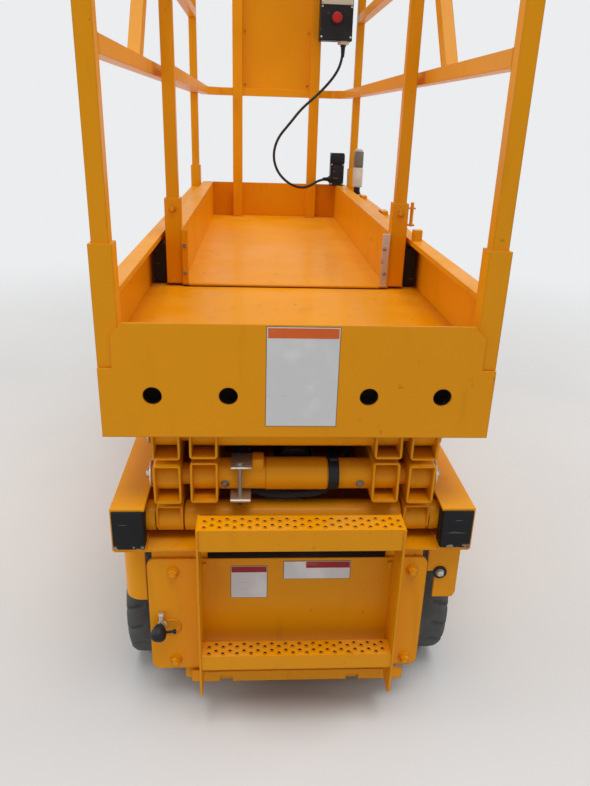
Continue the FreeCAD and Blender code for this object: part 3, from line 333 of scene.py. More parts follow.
YELLOW = colour(233, 153, 4)
ENAMEL = enamel("orange_yellow_enamel", YELLOW)
RAIL_ENAMEL = enamel("rail_enamel", YELLOW, bare=lock_pin)
# Painted shade: dark slots for the shade inside the door's louvre openings.
DOOR_ENAMEL = enamel("door_enamel", YELLOW, other=(louvre_slot_shade, colour(46, 28, 10)))
FRAME_BLACK = enamel("black_enamel", colour(34, 34, 36), chips=0.6)
CYLINDER_PAINT = enamel("lift_cylinder_enamel", colour(30, 30, 32), chips=0.5)
RUBBER = rubber("grey_solid_rubber", colour(74, 76, 76))
SHEATH = rubber("cable_sheath_rubber", colour(30, 30, 32), 160.0)
BLACK_PLASTIC = plastic("black_moulded_plastic", colour(20, 21, 25))
GREY_PLASTIC = plastic("pale_grey_moulding", colour(208, 204, 190))
RED_PLASTIC = plastic("red_button_plastic", colour(176, 34, 36), 0.3)
CHROME = steel("ground_rod_chrome", (0.78, 0.79, 0.80, 1), 0.12, 0.1)
ZINC = steel("zinc_plated_steel", (0.60, 0.58, 0.54, 1), 0.42, 0.5)
OLD_STEEL = steel("weathered_steel", (0.30, 0.27, 0.23, 1), 0.55, 0.9)
CAP_PLASTIC = plastic("channel_cap_plastic", colour(12, 14, 18), 0.6, chipped=0.466)
PAPER = plastic("label_white", colour(212, 212, 214), 0.45, 0.0)
RED_BAND = plastic("label_red", colour(150, 28, 30), 0.4, 0.0)
ORANGE_BAND = plastic("label_orange", colour(214, 96, 34), 0.4, 0.0)
KEYLINE = plastic("label_edge", colour(58, 52, 48), 0.5, 0.0)
SHADOW = plastic("hole_shadow", colour(20, 13, 7), 0.9, 0.0)
SMOKED = plastic("switch_cover_smoke", colour(120, 112, 104), 0.3)

BY_SLOT = {"orange_paint": ENAMEL, "rim_paint": ENAMEL, "black_paint": FRAME_BLACK, "tyre": RUBBER,
           "black_plastic": BLACK_PLASTIC, "grey_plastic": GREY_PLASTIC, "red_plastic": RED_PLASTIC,
           "chrome_rod": CHROME, "cable_rubber": SHEATH}
BY_NODE = {"extension_rails": RAIL_ENAMEL, "lift_cylinder_barrel": CYLINDER_PAINT,
           "side_door_left": DOOR_ENAMEL, "side_door_right": DOOR_ENAMEL}
SLOT_OF = {ENAMEL: "orange_paint", SHADOW: "black_paint", RUBBER: "tyre", SHEATH: "cable_rubber",
           BLACK_PLASTIC: "black_plastic", CAP_PLASTIC: "black_plastic",
           GREY_PLASTIC: "grey_plastic", RED_PLASTIC: "red_plastic"}


def finish_nodes():
    for part in frame["record"]["subparts"]:
        solid = frame["nodes"][part["node"]]
        for place in solid.material_slots:
            place.material = BY_NODE.get(part["node"]) or BY_SLOT[part["material_slot"]]


finish_nodes()
cable.data.materials[0] = SHEATH


# Mesh helpers

def piece(name, mesh, body, finish):
    """An added piece that rides a body, with its finish."""
    made = bpy.data.objects.new(name, mesh)
    bpy.context.collection.objects.link(made)
    mesh.materials.clear()
    mesh.materials.append(finish)
    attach(made, body)
    finish in SLOT_OF
    return made


class Form:
    """Collects blocks, plates and turned shapes into one mesh."""

    def __init__(self):
        self.mesh = bmesh.new()

    def add(self, other, matrix):
        """Takes in another mesh, moved by a matrix."""
        other.transform(matrix)
        bmesh.ops.recalc_face_normals(other, faces=other.faces)
        part = bpy.data.meshes.new("part")
        other.to_mesh(part)
        self.mesh.from_mesh(part)
        bpy.data.meshes.remove(part)
        other.free()
        return self

    def block(self, low, high, edge=0.002, steps=2, matrix=Matrix()):
        """A block between two corners, its edges rounded in a few steps."""
        made = bmesh.new()
        bmesh.ops.create_cube(made, size=1)
        low, high = Vector(low), Vector(high)
        scale = Matrix.Diagonal(high - low).to_4x4()
        made.transform(Matrix.Translation((low + high) / 2) @ scale)
        bmesh.ops.bevel(made, geom=made.edges[:], offset=edge, segments=steps, affect="EDGES",
                        profile=0.5)
        return self.add(made, matrix)

    def ring(self, profile, place, direction, steps=32, closed=True):
        """A profile of (radius, height), turned about a line and closed by its first point."""
        made = bmesh.new()
        rings = [[made.verts.new((radius * math.cos(2 * math.pi * i / steps),
                                  radius * math.sin(2 * math.pi * i / steps), height))
                  for i in range(steps if radius else 1)] for radius, height in profile]
        if closed:
            rings.append(rings[0])
        for low, high in zip(rings, rings[1:]):
            for i in range(steps):
                j = (i + 1) % steps
                corners = {low[i % len(low)]: 0, low[j % len(low)]: 0, high[j % len(high)]: 0,
                           high[i % len(high)]: 0}
                if len(corners) > 2:
                    made.faces.new(list(corners))
        turn = Vector(direction).to_track_quat("Z", "Y").to_matrix().to_4x4()
        return self.add(made, Matrix.Translation(place) @ turn)

    def turned(self, profile, place, direction, steps=32, tip=None):
        """A solid turned about a line, with a flat foot, and a flat or pointed top."""
        top = profile[-1][1] if tip is None else tip
        solid = [(0, profile[0][1])] + profile + [(0, top)]
        return self.ring(solid, place, direction, steps, closed=False)

    def piece(self, name, body, finish):
        """The collected mesh as a piece, smooth where its faces meet at a small angle."""
        bmesh.ops.recalc_face_normals(self.mesh, faces=self.mesh.faces)
        for face in self.mesh.faces:
            face.smooth = True
        limit = math.radians(35)
        for edge in self.mesh.edges:
            edge.smooth = len(edge.link_faces) == 2 and edge.calc_face_angle(0) < limit
        mesh = bpy.data.meshes.new(name)
        self.mesh.to_mesh(mesh)
        self.mesh.free()
        return piece(name, mesh, body, finish)


# Tyres with grooved treads

def tyre(name):
    """A solid tyre: grooved tread, rounded shoulders and a ribbed side."""
    low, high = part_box("tyre_" + name)
    radius, half = (high.z - low.z) / 2, (high.x - low.x) / 2
    section = [(-1.0, 0.635), (-1.0, 0.70), (-0.975, 0.715), (-0.975, 0.80), (-1.0, 0.815),
               (-1.0, 0.905), (-0.93, 0.965), (-0.80, 0.993)]
    section += [(x / 10, 1.0) for x in range(-6, 7, 2)]
    section += [(-x, r) for x, r in reversed(section[:8])] + [(0.9, 0.625), (-0.9, 0.625)]
    steps, lug_steps, groove_steps = 240, 12, 2
    lug_depth, middle_groove = 0.030, 0.018
    made = bmesh.new()
    rings = []
    for i in range(steps):
        turn = 2 * math.pi * i / steps
        ring = []
        for across, reach in section:
            grooved = (i + int(6 * abs(across))) % lug_steps < groove_steps
            if reach > 0.9 and abs(across) > 0.35 and grooved:
                reach -= lug_depth
            if abs(across) < 0.05:
                reach -= middle_groove
            ring.append(made.verts.new((across * half, reach * radius * math.sin(turn),
                                        reach * radius * math.cos(turn))))
        rings.append(ring)
    for i in range(steps):
        here, after = rings[i], rings[(i + 1) % steps]
        for j in range(len(section)):
            k = (j + 1) % len(section)
            made.faces.new((here[j], here[k], after[k], after[j]))
    form = Form().add(made, Matrix.Translation((low + high) / 2))
    shaped = form.piece("tyre_%s_tread" % name, "wheel_" + name, RUBBER)
    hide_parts("tyre_" + name)


WHEELS = ("near_left", "near_right", "far_left", "far_right")
for wheel in WHEELS:
    tyre(wheel)


# Node trees for what repeats

def grown(name, seeds, tree, **sizes):
    """Runs a tree on seed points, each (place, facing), and gives the plain mesh that it makes."""
    mesh = bpy.data.meshes.new(name + "_seeds")
    mesh.from_pydata([Vector(place) for place, facing in seeds], [], [])
    mark = mesh.attributes.new("facing", "FLOAT_VECTOR", "POINT")
    for row, (place, facing) in zip(mark.data, seeds):
        row.vector = facing
    seed = bpy.data.objects.new(name + "_seeds", mesh)
    bpy.context.collection.objects.link(seed)
    modifier = seed.modifiers.new("tree", "NODES")
    modifier.node_group = tree
    for item in tree.interface.items_tree:
        if item.name.lower() in sizes:
            modifier[item.identifier] = sizes[item.name.lower()]
    graph = bpy.context.evaluated_depsgraph_get()
    made = bpy.data.meshes.new_from_object(seed.evaluated_get(graph))
    made.name = name
    bpy.data.objects.remove(seed)
    return made


def fitting_tree(name, sizes, shape):
    """A tree that stands a shape on every seed point, turned to its facing, at a random spin."""
    tree = bpy.data.node_groups.new(name, "GeometryNodeTree")
    tree.interface.new_socket("Geometry", in_out="INPUT", socket_type="NodeSocketGeometry")
    for label, value in sizes.items():
        socket = tree.interface.new_socket(label, in_out="INPUT", socket_type="NodeSocketFloat")
        socket.default_value = value
    tree.interface.new_socket("Geometry", in_out="OUTPUT", socket_type="NodeSocketGeometry")
    graph = Graph(tree)
    inlet = tree.nodes.new("NodeGroupInput")
    outlet = tree.nodes.new("NodeGroupOutput")
    named = {label: Value(graph, inlet.outputs[label]) for label in sizes}
    facing = graph.node("GeometryNodeInputNamedAttribute", {"data_type": "FLOAT_VECTOR"},
                        Name="facing")
    stood = graph.node("FunctionNodeAlignRotationToVector", {"axis": "Z"}, Vector=facing)
    spin = graph.node("FunctionNodeRandomValue", {"data_type": "FLOAT"}, out=1, i2=0.0, i3=6.28,
                      Seed=7)
    turn = graph.node("ShaderNodeCombineXYZ", Z=spin)
    stood = graph.node("FunctionNodeRotateRotation", {"rotation_space": "LOCAL"}, i0=stood, i1=turn)
    placed = graph.node("GeometryNodeInstanceOnPoints", Points=Value(graph, inlet.outputs[0]),
                        Instance=shape(graph, named), Rotation=stood)
    real = graph.node("GeometryNodeRealizeInstances", Geometry=placed)
    coated = graph.node("GeometryNodeSetMaterial", Geometry=real, Material=ZINC)
    graph.feed(outlet.inputs[0], coated)
    return tree


def lifted(graph, shape, height):
    rise = graph.node("ShaderNodeCombineXYZ", Z=height)
    return graph.node("GeometryNodeTransform", Geometry=shape, Translation=rise)


def drum(graph, sides, radius, depth):
    """A short cylinder that stands on its seed point."""
    made = graph.node("GeometryNodeMeshCylinder", Vertices=sides, Radius=radius, Depth=depth)
    return lifted(graph, made, depth * 0.5)


def hex_bolt(graph, named):
    """A washer, a hexagonal head and a low crown, one on another."""
    across, height = named["Across"], named["Height"]
    washer = drum(graph, 20, across * 0.72, height * 0.28)
    head = lifted(graph, drum(graph, 6, across * 0.577, height * 0.62), height * 0.28)
    crown = lifted(graph, drum(graph, 12, across * 0.40, height * 0.12), height * 0.88)
    join = graph.tree.nodes.new("GeometryNodeJoinGeometry")
    for shape in (washer, head, crown):
        graph.tree.links.new(shape.socket, join.inputs[0])
    return Value(graph, join.outputs[0])


def raised_hole(graph, named):
    """A closed dimple: a low cone with a flat top."""
    return graph.node("GeometryNodeMeshCone", {"fill_type": "NGON"}, Vertices=10,
                      Radius_Top=named["Top"], Radius_Bottom=named["Foot"], Depth=named["Rise"])


def weld_drop(graph, named):
    """A flattened ball."""
    ball = graph.node("GeometryNodeMeshUVSphere", Segments=8, Rings=5, Radius=named["Size"])
    flat = graph.node("ShaderNodeCombineXYZ", X=1.0, Y=1.0, Z=0.55)
    return graph.node("GeometryNodeTransform", Geometry=ball, Scale=flat)


BOLTS = fitting_tree("hex_bolts", {"Across": 0.017, "Height": 0.010}, hex_bolt)
HOLES = fitting_tree("raised_holes", {"Top": 0.003, "Foot": 0.006, "Rise": 0.002}, raised_hole)
WELDS = fitting_tree("weld_drops", {"Size": 0.0026}, weld_drop)


def bolts(name, body, seeds, across, height, finish=ZINC):
    return piece(name, grown(name, seeds, BOLTS, across=across, height=height), body, finish)


def weld(name, body, loops, size=0.0026):
    """Weld beads along closed loops of corners, a bead every few millimetres."""
    pitch = 0.0042
    seeds = []
    for loop in loops:
        for start, end in zip(loop, loop[1:] + loop[:1]):
            start, end = Vector(start), Vector(end)
            count = max(1, round((end - start).length / pitch))
            for i in range(count):
                seeds.append((start.lerp(end, i / count), (end - start).normalized()))
    return piece(name, grown(name, seeds, WELDS, size=size), body, ENAMEL)


def square_loop(axis, place, half):
    """Corners of a square of half a side, across an axis, about a place."""
    across = [k for k in range(3) if k != "XYZ".index(axis)]
    loop = []
    for a, b in ((-1, -1), (1, -1), (1, 1), (-1, 1)):
        corner = list(place)
        corner[across[0]] += a * half
        corner[across[1]] += b * half
        loop.append(tuple(corner))
    return loop


# Ladder, chassis end and channels

FRONT, BACK, LEFT, RIGHT = (0, -1, 0), (0, 1, 0), (-1, 0, 0), (1, 0, 0)
UP, DOWN = (0, 0, 1), (0, 0, -1)
SIDES = (("left", -1), ("right", 1))
COVER_FACE = -1.070
COVER_BOLTS = ((-0.276, 0.388), (0.280, 0.388), (-0.278, 0.131), (0.284, 0.127))
GUARD_BOLT = (0.350, -1.058, 0.373)


def treads():
    """Pressed holes with raised rims on both steps: two bands, each of two staggered rows; a dark
    disc in each hole is painted shade.
    """
    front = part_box("ladder")[0].y + 0.004
    pitch, stagger, rim = 0.0162, 0.0042, 0.0017
    for name, top, first, count, bands in (("upper", 0.552, -0.1975, 27, (0.0165, 0.0400)),
                                           ("lower", 0.212, -0.1930, 26, (0.0140, 0.0350))):
        places = [(first + i * pitch, front + band + (stagger if i % 2 else -stagger))
                  for band in bands for i in range(count)]
        rims = grown(name + "_step_rims", [((x, y, top - 0.0001), UP) for x, y in places], HOLES,
                     top=0.0036, foot=0.0058, rise=rim)
        piece(name + "_step_rims", rims, "chassis", ENAMEL)
        # Painted shade: a thin dark disc on each dimple stands for the dark inside of the hole.
        pit_shade = grown(name + "_step_pits", [((x, y, top + rim - 0.0001), UP) for x, y in places],
                     BOLTS, across=0.0042, height=0.0003)
        piece(name + "_step_pits", pit_shade, "chassis", SHADOW)


def ladder_welds():
    """Beads under both steps, where they meet the ladder's side plates."""
    low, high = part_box("ladder")
    back = low.y + 0.006
    weld("ladder_welds", "chassis", [[(x, back, z), (x, back + depth, z)]
                                     for x in (low.x + 0.0055, high.x - 0.0055)
                                     for z, depth in ((0.5465, 0.056), (0.2065, 0.046))],
         size=0.0022)


def cover_fittings():
    """Bolts of the cover and the right guard, rings under them, two tabs, and a dark strip painted
    as the shadow in the gap above the cover.
    """
    bolts("cover_bolts", "chassis", [((x, COVER_FACE, z), FRONT) for x, z in COVER_BOLTS],
          0.019, 0.015, ENAMEL)
    bolts("guard_bolt", "chassis", [(GUARD_BOLT, FRONT)], 0.015, 0.010)
    form = Form()
    for x, z in COVER_BOLTS:
        form.turned([(0.0155, 0.0), (0.0150, 0.0014), (0.0125, 0.0018)], (x, COVER_FACE, z),
                    FRONT, 28)
    form.ring([(0.022, 0.0), (0.0245, 0.0008), (0.0225, 0.0020), (0.0195, 0.0020), (0.0185, 0.0)],
              (-0.285, COVER_FACE, 0.231), FRONT, 40)
    for x in (-0.205, 0.226):
        form.block((x - 0.006, COVER_FACE - 0.0045, 0.392), (x + 0.006, COVER_FACE + 0.0005, 0.414))
    form.piece("cover_bosses", "chassis", ENAMEL)
    form = Form().ring([(0.010, 0.0), (0.010, 0.0035), (0.0135, 0.0045), (0.0165, 0.0035),
                        (0.0165, 0.0)], GUARD_BOLT, FRONT, 28)
    form.piece("guard_bolt_ring", "chassis", BLACK_PLASTIC)
    # Painted shadow: a dark strip for the shade in the gap between the cover and the top plate.
    form = Form().block((-0.196, -1.0692, 0.4235), (0.214, -1.0600, 0.4395), 0.003)
    form.piece("cover_gap_shade", "chassis", SHADOW)


def channel_caps():
    """Black caps in the near ends of the side channels."""
    for name, side in SIDES:
        inner, outer, lip = side * 0.333, side * 0.4025, side * 0.338
        form = Form()
        form.block((min(inner, outer), -1.0885, 0.4615), (max(inner, outer), -1.0800, 0.5585),
                   0.003, 3)
        form.block((min(inner, lip), -1.0860, 0.4620), (max(inner, lip), -1.0500, 0.5580), 0.0015)
        form.piece("channel_cap_" + name, "chassis", CAP_PLASTIC)


def knob():
    """A pear-shaped black knob hung from a bright arm, standing in for the turned one."""
    low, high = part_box("cover_knob")
    x, z = (low.x + high.x) / 2, (low.z + high.z) / 2
    pear = [(0.007, 0.0), (0.0095, 0.003), (0.0135, 0.008), (0.0172, 0.015), (0.0185, 0.023),
            (0.0175, 0.031), (0.0130, 0.037), (0.0065, 0.0398)]
    hang = Vector((-0.10, -0.72, -0.68)).normalized()
    form = Form().turned(pear, (x - 0.001, -1.080, z + 0.014), hang, tip=0.0402)
    ball = form.piece("knob_ball", "chassis", BLACK_PLASTIC)
    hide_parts("cover_knob")
    form = Form()
    form.turned([(0.0055, 0.0), (0.0055, 0.030), (0.0075, 0.032), (0.0075, 0.038)],
                (x + 0.001, -1.0785, z + 0.006), (0.06, 0.02, 1), 20, tip=0.040)
    form.turned([(0.0105, 0.0), (0.0105, 0.003), (0.0070, 0.0045), (0.0070, 0.011)],
                (x + 0.003, COVER_FACE, z + 0.008), FRONT, 24, tip=0.012)
    form.piece("knob_arm", "chassis", ZINC)
    form = Form().turned([(0.0034, 0.0), (0.0034, 0.020), (0.0055, 0.022), (0.0055, 0.028)],
                         (x + 0.008, -1.0850, z - 0.006), (1, 0.12, 0), 16, tip=0.029)
    form.piece("knob_peg", "chassis", BLACK_PLASTIC)


treads()
ladder_welds()
cover_fittings()
channel_caps()
knob()


# Blank labels: thin plates with a coloured band, no lettering

def label(name, body, face, low, high, band, stripe):
    """A sticker on a face that looks to -Y, with a dark edge; corners and band are (x, z)."""
    for part, back, front, reach, finish in (("_edge", 0.0, 0.0005, 0.0011, KEYLINE),
                                             ("", 0.0004, 0.0009, 0.0, PAPER)):
        form = Form().block((low[0] - reach, face - front, low[1] - reach),
                            (high[0] + reach, face - back, high[1] + reach), 0.0001, 1)
        form.piece(name + part, body, finish)
    form = Form().block((band[0][0], face - 0.0012, band[0][1]),
                        (band[1][0], face - 0.0008, band[1][1]), 0.0001, 1)
    form.piece(name + "_band", body, stripe)


label("end_plate_label", "platform", -1.085, (-0.068, 0.766), (0.078, 0.980),
      ((-0.066, 0.957), (0.076, 0.978)), ORANGE_BAND)
label("cover_label_left", "chassis", COVER_FACE, (-0.143, 0.315), (-0.060, 0.403),
      ((-0.142, 0.386), (-0.061, 0.402)), RED_BAND)
label("cover_label_right", "chassis", COVER_FACE, (-0.021, 0.367), (0.133, 0.415),
      ((0.030, 0.397), (0.132, 0.414)), RED_BAND)


def end_plate_hole_shade():
    """Closed dark cups behind the four holes of the end plate, painted as the shade inside the
    holes.
    """
    form = Form()
    for x in (-0.299, -0.145, 0.145, 0.299):
        form.turned([(0.0212, 0.0), (0.0212, 0.024), (0.0197, 0.024), (0.0197, 0.0015)],
                    (x, -1.0550, 0.831), FRONT, 36)
    form.piece("end_plate_hole_shade", "platform", SHADOW)


end_plate_hole_shade()


# Scissor: tube fittings, oil hoses, pin keepers and painted shade plugs in the arms

NEAR, LOW, PITCH, LENGTH = -1.015, 0.5075, 0.1085, 2.0597197
REACH = math.sqrt(LENGTH ** 2 - PITCH ** 2)
LEVELS = ("lower", "middle", "upper")


def tube_fittings():
    """The lift cylinder's foot sleeve, and the band, bolts, clamp and lug on the tube beside it."""
    y, z, r = NEAR, LOW + PITCH, 0.035
    inner, outer, left, right = r + 0.0002, r + 0.0018, -0.066, 0.072
    form = Form().ring([(inner, left), (outer, left + 0.0005), (outer, right - 0.0005),
                        (inner, right)], (0, y, z), RIGHT, 48)
    form.piece("foot_sleeve", "lift_barrel", ENAMEL)
    form = Form().ring([(r - 0.002, -0.0125), (r + 0.0022, -0.012), (r + 0.0022, 0.012),
                        (r - 0.002, 0.0125)], (0.086, y, z), RIGHT, 48)
    form.block((0.076, y - 0.012, z + 0.033), (0.096, y + 0.040, z + 0.043), 0.004)
    form.piece("tube_band", "lower_inner", BLACK_PLASTIC)
    bolts("tube_bolts", "lower_inner", [((x, y - r * 0.985, z - 0.008), (0, -1, -0.2))
                                        for x in (-0.155, 0.145)], 0.013, 0.006, OLD_STEEL)
    stud = (-0.122, y - r - 0.008)
    form = Form()
    form.block((-0.142, stud[1] - 0.014, z + 0.0395), (-0.096, y + 0.014, z + 0.0435), 0.001, 1)
    form.block((-0.144, stud[1] - 0.014, z - 0.0435), (-0.098, y - 0.008, z - 0.0365), 0.0015, 1)
    form.piece("tube_clamp_plates", "lower_inner", ZINC)
    form = Form().turned([(0.0042, 0.0), (0.0042, 0.104)], stud + (z - 0.056,), UP, 16)
    for nut in (z - 0.0505, z + 0.0435):
        form.turned([(0.0080, 0.0), (0.0080, 0.0065)], stud + (nut,), UP, 6)
    form.piece("tube_clamp_stud", "lower_inner", OLD_STEEL)
    form = Form().block((-0.096, y - 0.026, z + 0.020), (-0.070, y + 0.012, z + 0.048), 0.004)
    form.block((-0.140, y - 0.016, z + 0.024), (-0.098, y + 0.018, z + 0.040), 0.003)
    form.piece("tube_lug", "lower_inner", ENAMEL)


def formed_hose(name, points, radius):
    """A formed oil hose of the lower inner arms, held at both ends, swept along a smooth line."""
    held = swept(name, points, radius, 10, 3)
    graph = bpy.context.evaluated_depsgraph_get()
    mesh = bpy.data.meshes.new_from_object(held.evaluated_get(graph))
    bpy.data.objects.remove(held)
    for face in mesh.polygons:
        face.use_smooth = True
    piece(name, mesh, "lower_inner", SHEATH)


def oil_hoses():
    """Three hoses that loop under the tube, and two above it."""
    for i, s in enumerate((0.0, 0.013, 0.026)):
        formed_hose("oil_hose_under_%d" % (i + 1), [
            (-0.128 + s, -0.930, 0.652), (-0.136 + s, -0.965, 0.605), (-0.105 + s, -1.002, 0.5655),
            (-0.040 + s, -1.022, 0.5595 + s / 6), (0.030 + s, -1.022, 0.5665),
            (0.092, -1.000, 0.576), (0.128, -0.955, 0.590 + s / 3), (0.134, -0.905, 0.612 + s)],
            0.0072)
    for i, s in enumerate((0.0, 0.019)):
        formed_hose("oil_hose_over_%d" % (i + 1), [
            (-0.118 + s, -0.880, 0.650), (-0.070 + s, -0.945, 0.668),
            (0.020, -0.972 + s / 2, 0.6700), (0.100, -0.950 + s / 2, 0.667),
            (0.138 - s, -0.900, 0.652)], 0.0080)


def arm_end(level, falling, far):
    """Place of an arm pair's pin: the near or far end, in Y and Z."""
    z = LOW + (level + (1 if falling != far else 0)) * PITCH
    return (NEAR + REACH if far else NEAR), z


def pin_ends():
    """A washer and a bolt on each end of the scissor's pins, and caps on the centre pins."""
    for level, word in enumerate(LEVELS):
        for falling, kind in ((False, "outer"), (True, "inner")):
            ends = []
            if level < 2:
                ends.append((arm_end(level, falling, not falling), 0.318, 0.031, 0.003, 0.027))
            if not falling:
                centre = (NEAR + REACH / 2, LOW + (level + 0.5) * PITCH)
                ends.append((centre, 0.310, 0.033, 0.002, 0.028))
            if not ends:
                continue
            body = "%s_%s" % (word, kind)
            seeds, form = [], Form()
            for (y, z), x, radius, rim, crown in ends:
                for side in (-1, 1):
                    form.turned([(radius, 0.0), (radius, rim), (crown, 0.0045)],
                                (side * x, y, z), (side, 0, 0))
                    seeds.append(((side * (x + 0.0045), y, z), (side, 0, 0)))
            form.piece("pin_washers_" + body, body, ZINC)
            bolts("pin_bolts_" + body, body, seeds, 0.018, 0.009)


def arm_tube_shade():
    """Dark plugs inside the square tubes behind their end bosses, painted shade for the dark inside
    of the tubes.
    """
    tilt = math.asin(PITCH / LENGTH)
    for level, word in enumerate(LEVELS):
        for falling, kind, x in ((False, "outer", 0.280), (True, "inner", 0.200)):
            form = Form()
            y, z = arm_end(level, falling, False)
            turn = Matrix.Rotation(-tilt if falling else tilt, 4, "X")
            matrix = Matrix.Translation((0, y, z)) @ turn
            for side in (-x, x):
                for near in (0.052, LENGTH - 0.058):
                    form.block((side - 0.0255, near, -0.044), (side + 0.0255, near + 0.006, 0.044),
                               0.002, 1, matrix)
            body = "%s_%s" % (word, kind)
            # Painted shade: dark plates for the dark inside of the tubes.
            form.piece("arm_plugs_" + body, body, SHADOW)


tube_fittings()
oil_hoses()
pin_ends()
arm_tube_shade()


# Wheels: nuts and hub caps

def wheel_nuts():
    """Nuts on a circle in each rim, and a black hub cap."""
    count, circle = 5, 0.066
    for name in WHEELS:
        low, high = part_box("rim_" + name)
        y, z = ((low + high) / 2).yz
        sign, face = (-1, low.x) if name.endswith("left") else (1, high.x)
        seeds = []
        for i in range(count):
            turn = 2 * math.pi * (i + 0.25) / count
            seeds.append(((face - sign * 0.0300, y + circle * math.cos(turn),
                           z + circle * math.sin(turn)), (sign, 0, 0)))
        bolts("wheel_nuts_" + name, "wheel_" + name, seeds, 0.020, 0.014)
        form = Form().turned([(0.033, 0.0), (0.033, 0.003), (0.029, 0.0065), (0.012, 0.0085)],
                             (face - sign * 0.010, y, z), (sign, 0, 0), 36)
        form.piece("hub_cap_" + name, "wheel_" + name, BLACK_PLASTIC)


wheel_nuts()


# Side doors, pothole guards, machine bays and the steered end

def doors():
    """Latches inside each side door's upper edge, and the bolts of the pothole guards."""
    for side, sign in SIDES:
        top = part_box("side_door_" + side)[1].z
        inner, back = sign * 0.3965, sign * 0.3845
        form = Form()
        for y in (-0.30, 0.15, 0.50):
            form.block((min(inner, back), y - 0.020, top - 0.050),
                       (max(inner, back), y + 0.020, top - 0.015))
            form.turned([(0.009, 0.0), (0.009, 0.004)],
                        (back, y, top - 0.032), (-sign, 0, 0), 20, tip=0.005)
        form.piece("door_latches_" + side, "door_" + side, ZINC)
        rows = [((sign * 0.331, y, 0.1432), DOWN) for y in (-0.50, -0.17, 0.17, 0.50)]
        bolts("pothole_guard_bolts_" + side, "guard_" + side, rows, 0.016, 0.008)


def packs():
    """Lid, cell caps and terminals of the battery, fillers and bolts of the hydraulic pack."""
    low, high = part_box("battery_pack")
    form = Form().block((low.x + 0.004, low.y + 0.004, high.z),
                        (high.x - 0.004, high.y - 0.004, high.z + 0.007))
    middle, lid, count = (low.x + high.x) / 2, high.z + 0.0065, 12
    cells = [low.y + (high.y - low.y) * (i + 0.5) / count for i in range(count)]
    for y in cells:
        form.turned([(0.017, 0.0), (0.017, 0.007), (0.013, 0.010)], (middle, y, lid), UP, 20)
    form.piece("battery_lids", "chassis", BLACK_PLASTIC)
    bolts("battery_terminals", "chassis", [((low.x + 0.020, y, lid), UP) for y in cells],
          0.013, 0.012)
    low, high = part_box("hydraulic_pack")
    middle = (low.x + high.x) / 2
    form = Form()
    for y in (low.y + 0.08, low.y + 0.20, high.y - 0.10):
        form.turned([(0.024, 0.0), (0.024, 0.006), (0.017, 0.009), (0.017, 0.024),
                     (0.013, 0.028)], (middle, y, high.z), UP, 24)
    form.piece("hydraulic_fillers", "chassis", BLACK_PLASTIC)
    seeds = [((middle + across, y, high.z), UP) for across in (-0.040, 0.040)
             for y in (low.y + 0.03, high.y - 0.03)]
    bolts("hydraulic_bolts", "chassis", seeds, 0.014, 0.008)


def steered_end():
    """Tie-down rings, the end bar's bolts and the kingpins' bolts."""
    bend, wire = 0.0205, 0.0055
    turns = [2 * math.pi * i / 12 for i in range(12)]
    ring = [(bend + wire * math.cos(turn), wire * math.sin(turn)) for turn in turns]
    form = Form()
    for x in (-0.108, 0.108):
        form.block((x - 0.024, 1.1240, 0.190), (x + 0.024, 1.1275, 0.250), 0.0015)
        form.ring(ring, (x, 1.1330, 0.220), BACK)
    form.piece("tie_down_rings", "chassis", ENAMEL)
    bolts("far_end_bolts", "chassis", [((x, 1.1250, 0.431), BACK)
                                       for x in (-0.370, -0.125, 0.125, 0.370)], 0.009, 0.005)
    for side, sign in SIDES:
        low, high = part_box("knuckle_" + side)
        pin = low.x + 0.018 if sign > 0 else high.x - 0.018
        bolts("kingpin_bolts_" + side, "knuckle_" + side, [((pin, 0.900, high.z), UP)],
              0.022, 0.010)


doors()
packs()
steered_end()


# Platform and rails: welds, sleeve pins, deck edge

POST, MOVING_POST = 0.3825, 0.3285


def rail_welds():
    """Beads round the feet of the posts and their sleeves, and at the ends of the rails."""
    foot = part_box("extension_rails")[0].y + 0.0225
    for side, sign in SIDES:
        low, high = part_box("guard_rail_" + side)
        near, far = low.y + 0.0225, high.y - 0.0225
        x = sign * POST
        loops = [square_loop("Z", (x - sign * 0.0028, y, 0.8912), 0.0226) for y in (near, far)]
        loops += [square_loop("Z", (x, y, 1.1292), 0.0172) for y in (near, far)]
        loops += [square_loop("Y", (x, y, z), 0.0160) for y in (near + 0.0170, far - 0.0170)
                  for z in (1.473, 1.9735)]
        weld("rail_welds_" + side, "platform", loops)
        weld("extension_welds_" + side, "extension",
             [square_loop("Z", (sign * MOVING_POST, foot, 0.8992), 0.0226),
              square_loop("Z", (sign * 0.180, 1.1285, 0.8992), 0.0226)])


def sleeve_pins():
    """Bolts through the post sleeves, along the platform, the moving ones with nuts behind."""
    seeds, moving = [], []
    for sign in (-1, 1):
        seeds += [((sign * POST, y, 1.108), BACK) for y in (-1.034, 1.143)]
        moving += [((sign * MOVING_POST, y, 1.112), way)
                   for y, way in ((-0.368, FRONT), (-0.323, BACK))]
    bolts("sleeve_bolts", "platform", seeds, 0.015, 0.008, ENAMEL)
    bolts("extension_sleeve_bolts", "extension", moving, 0.015, 0.008, ENAMEL)


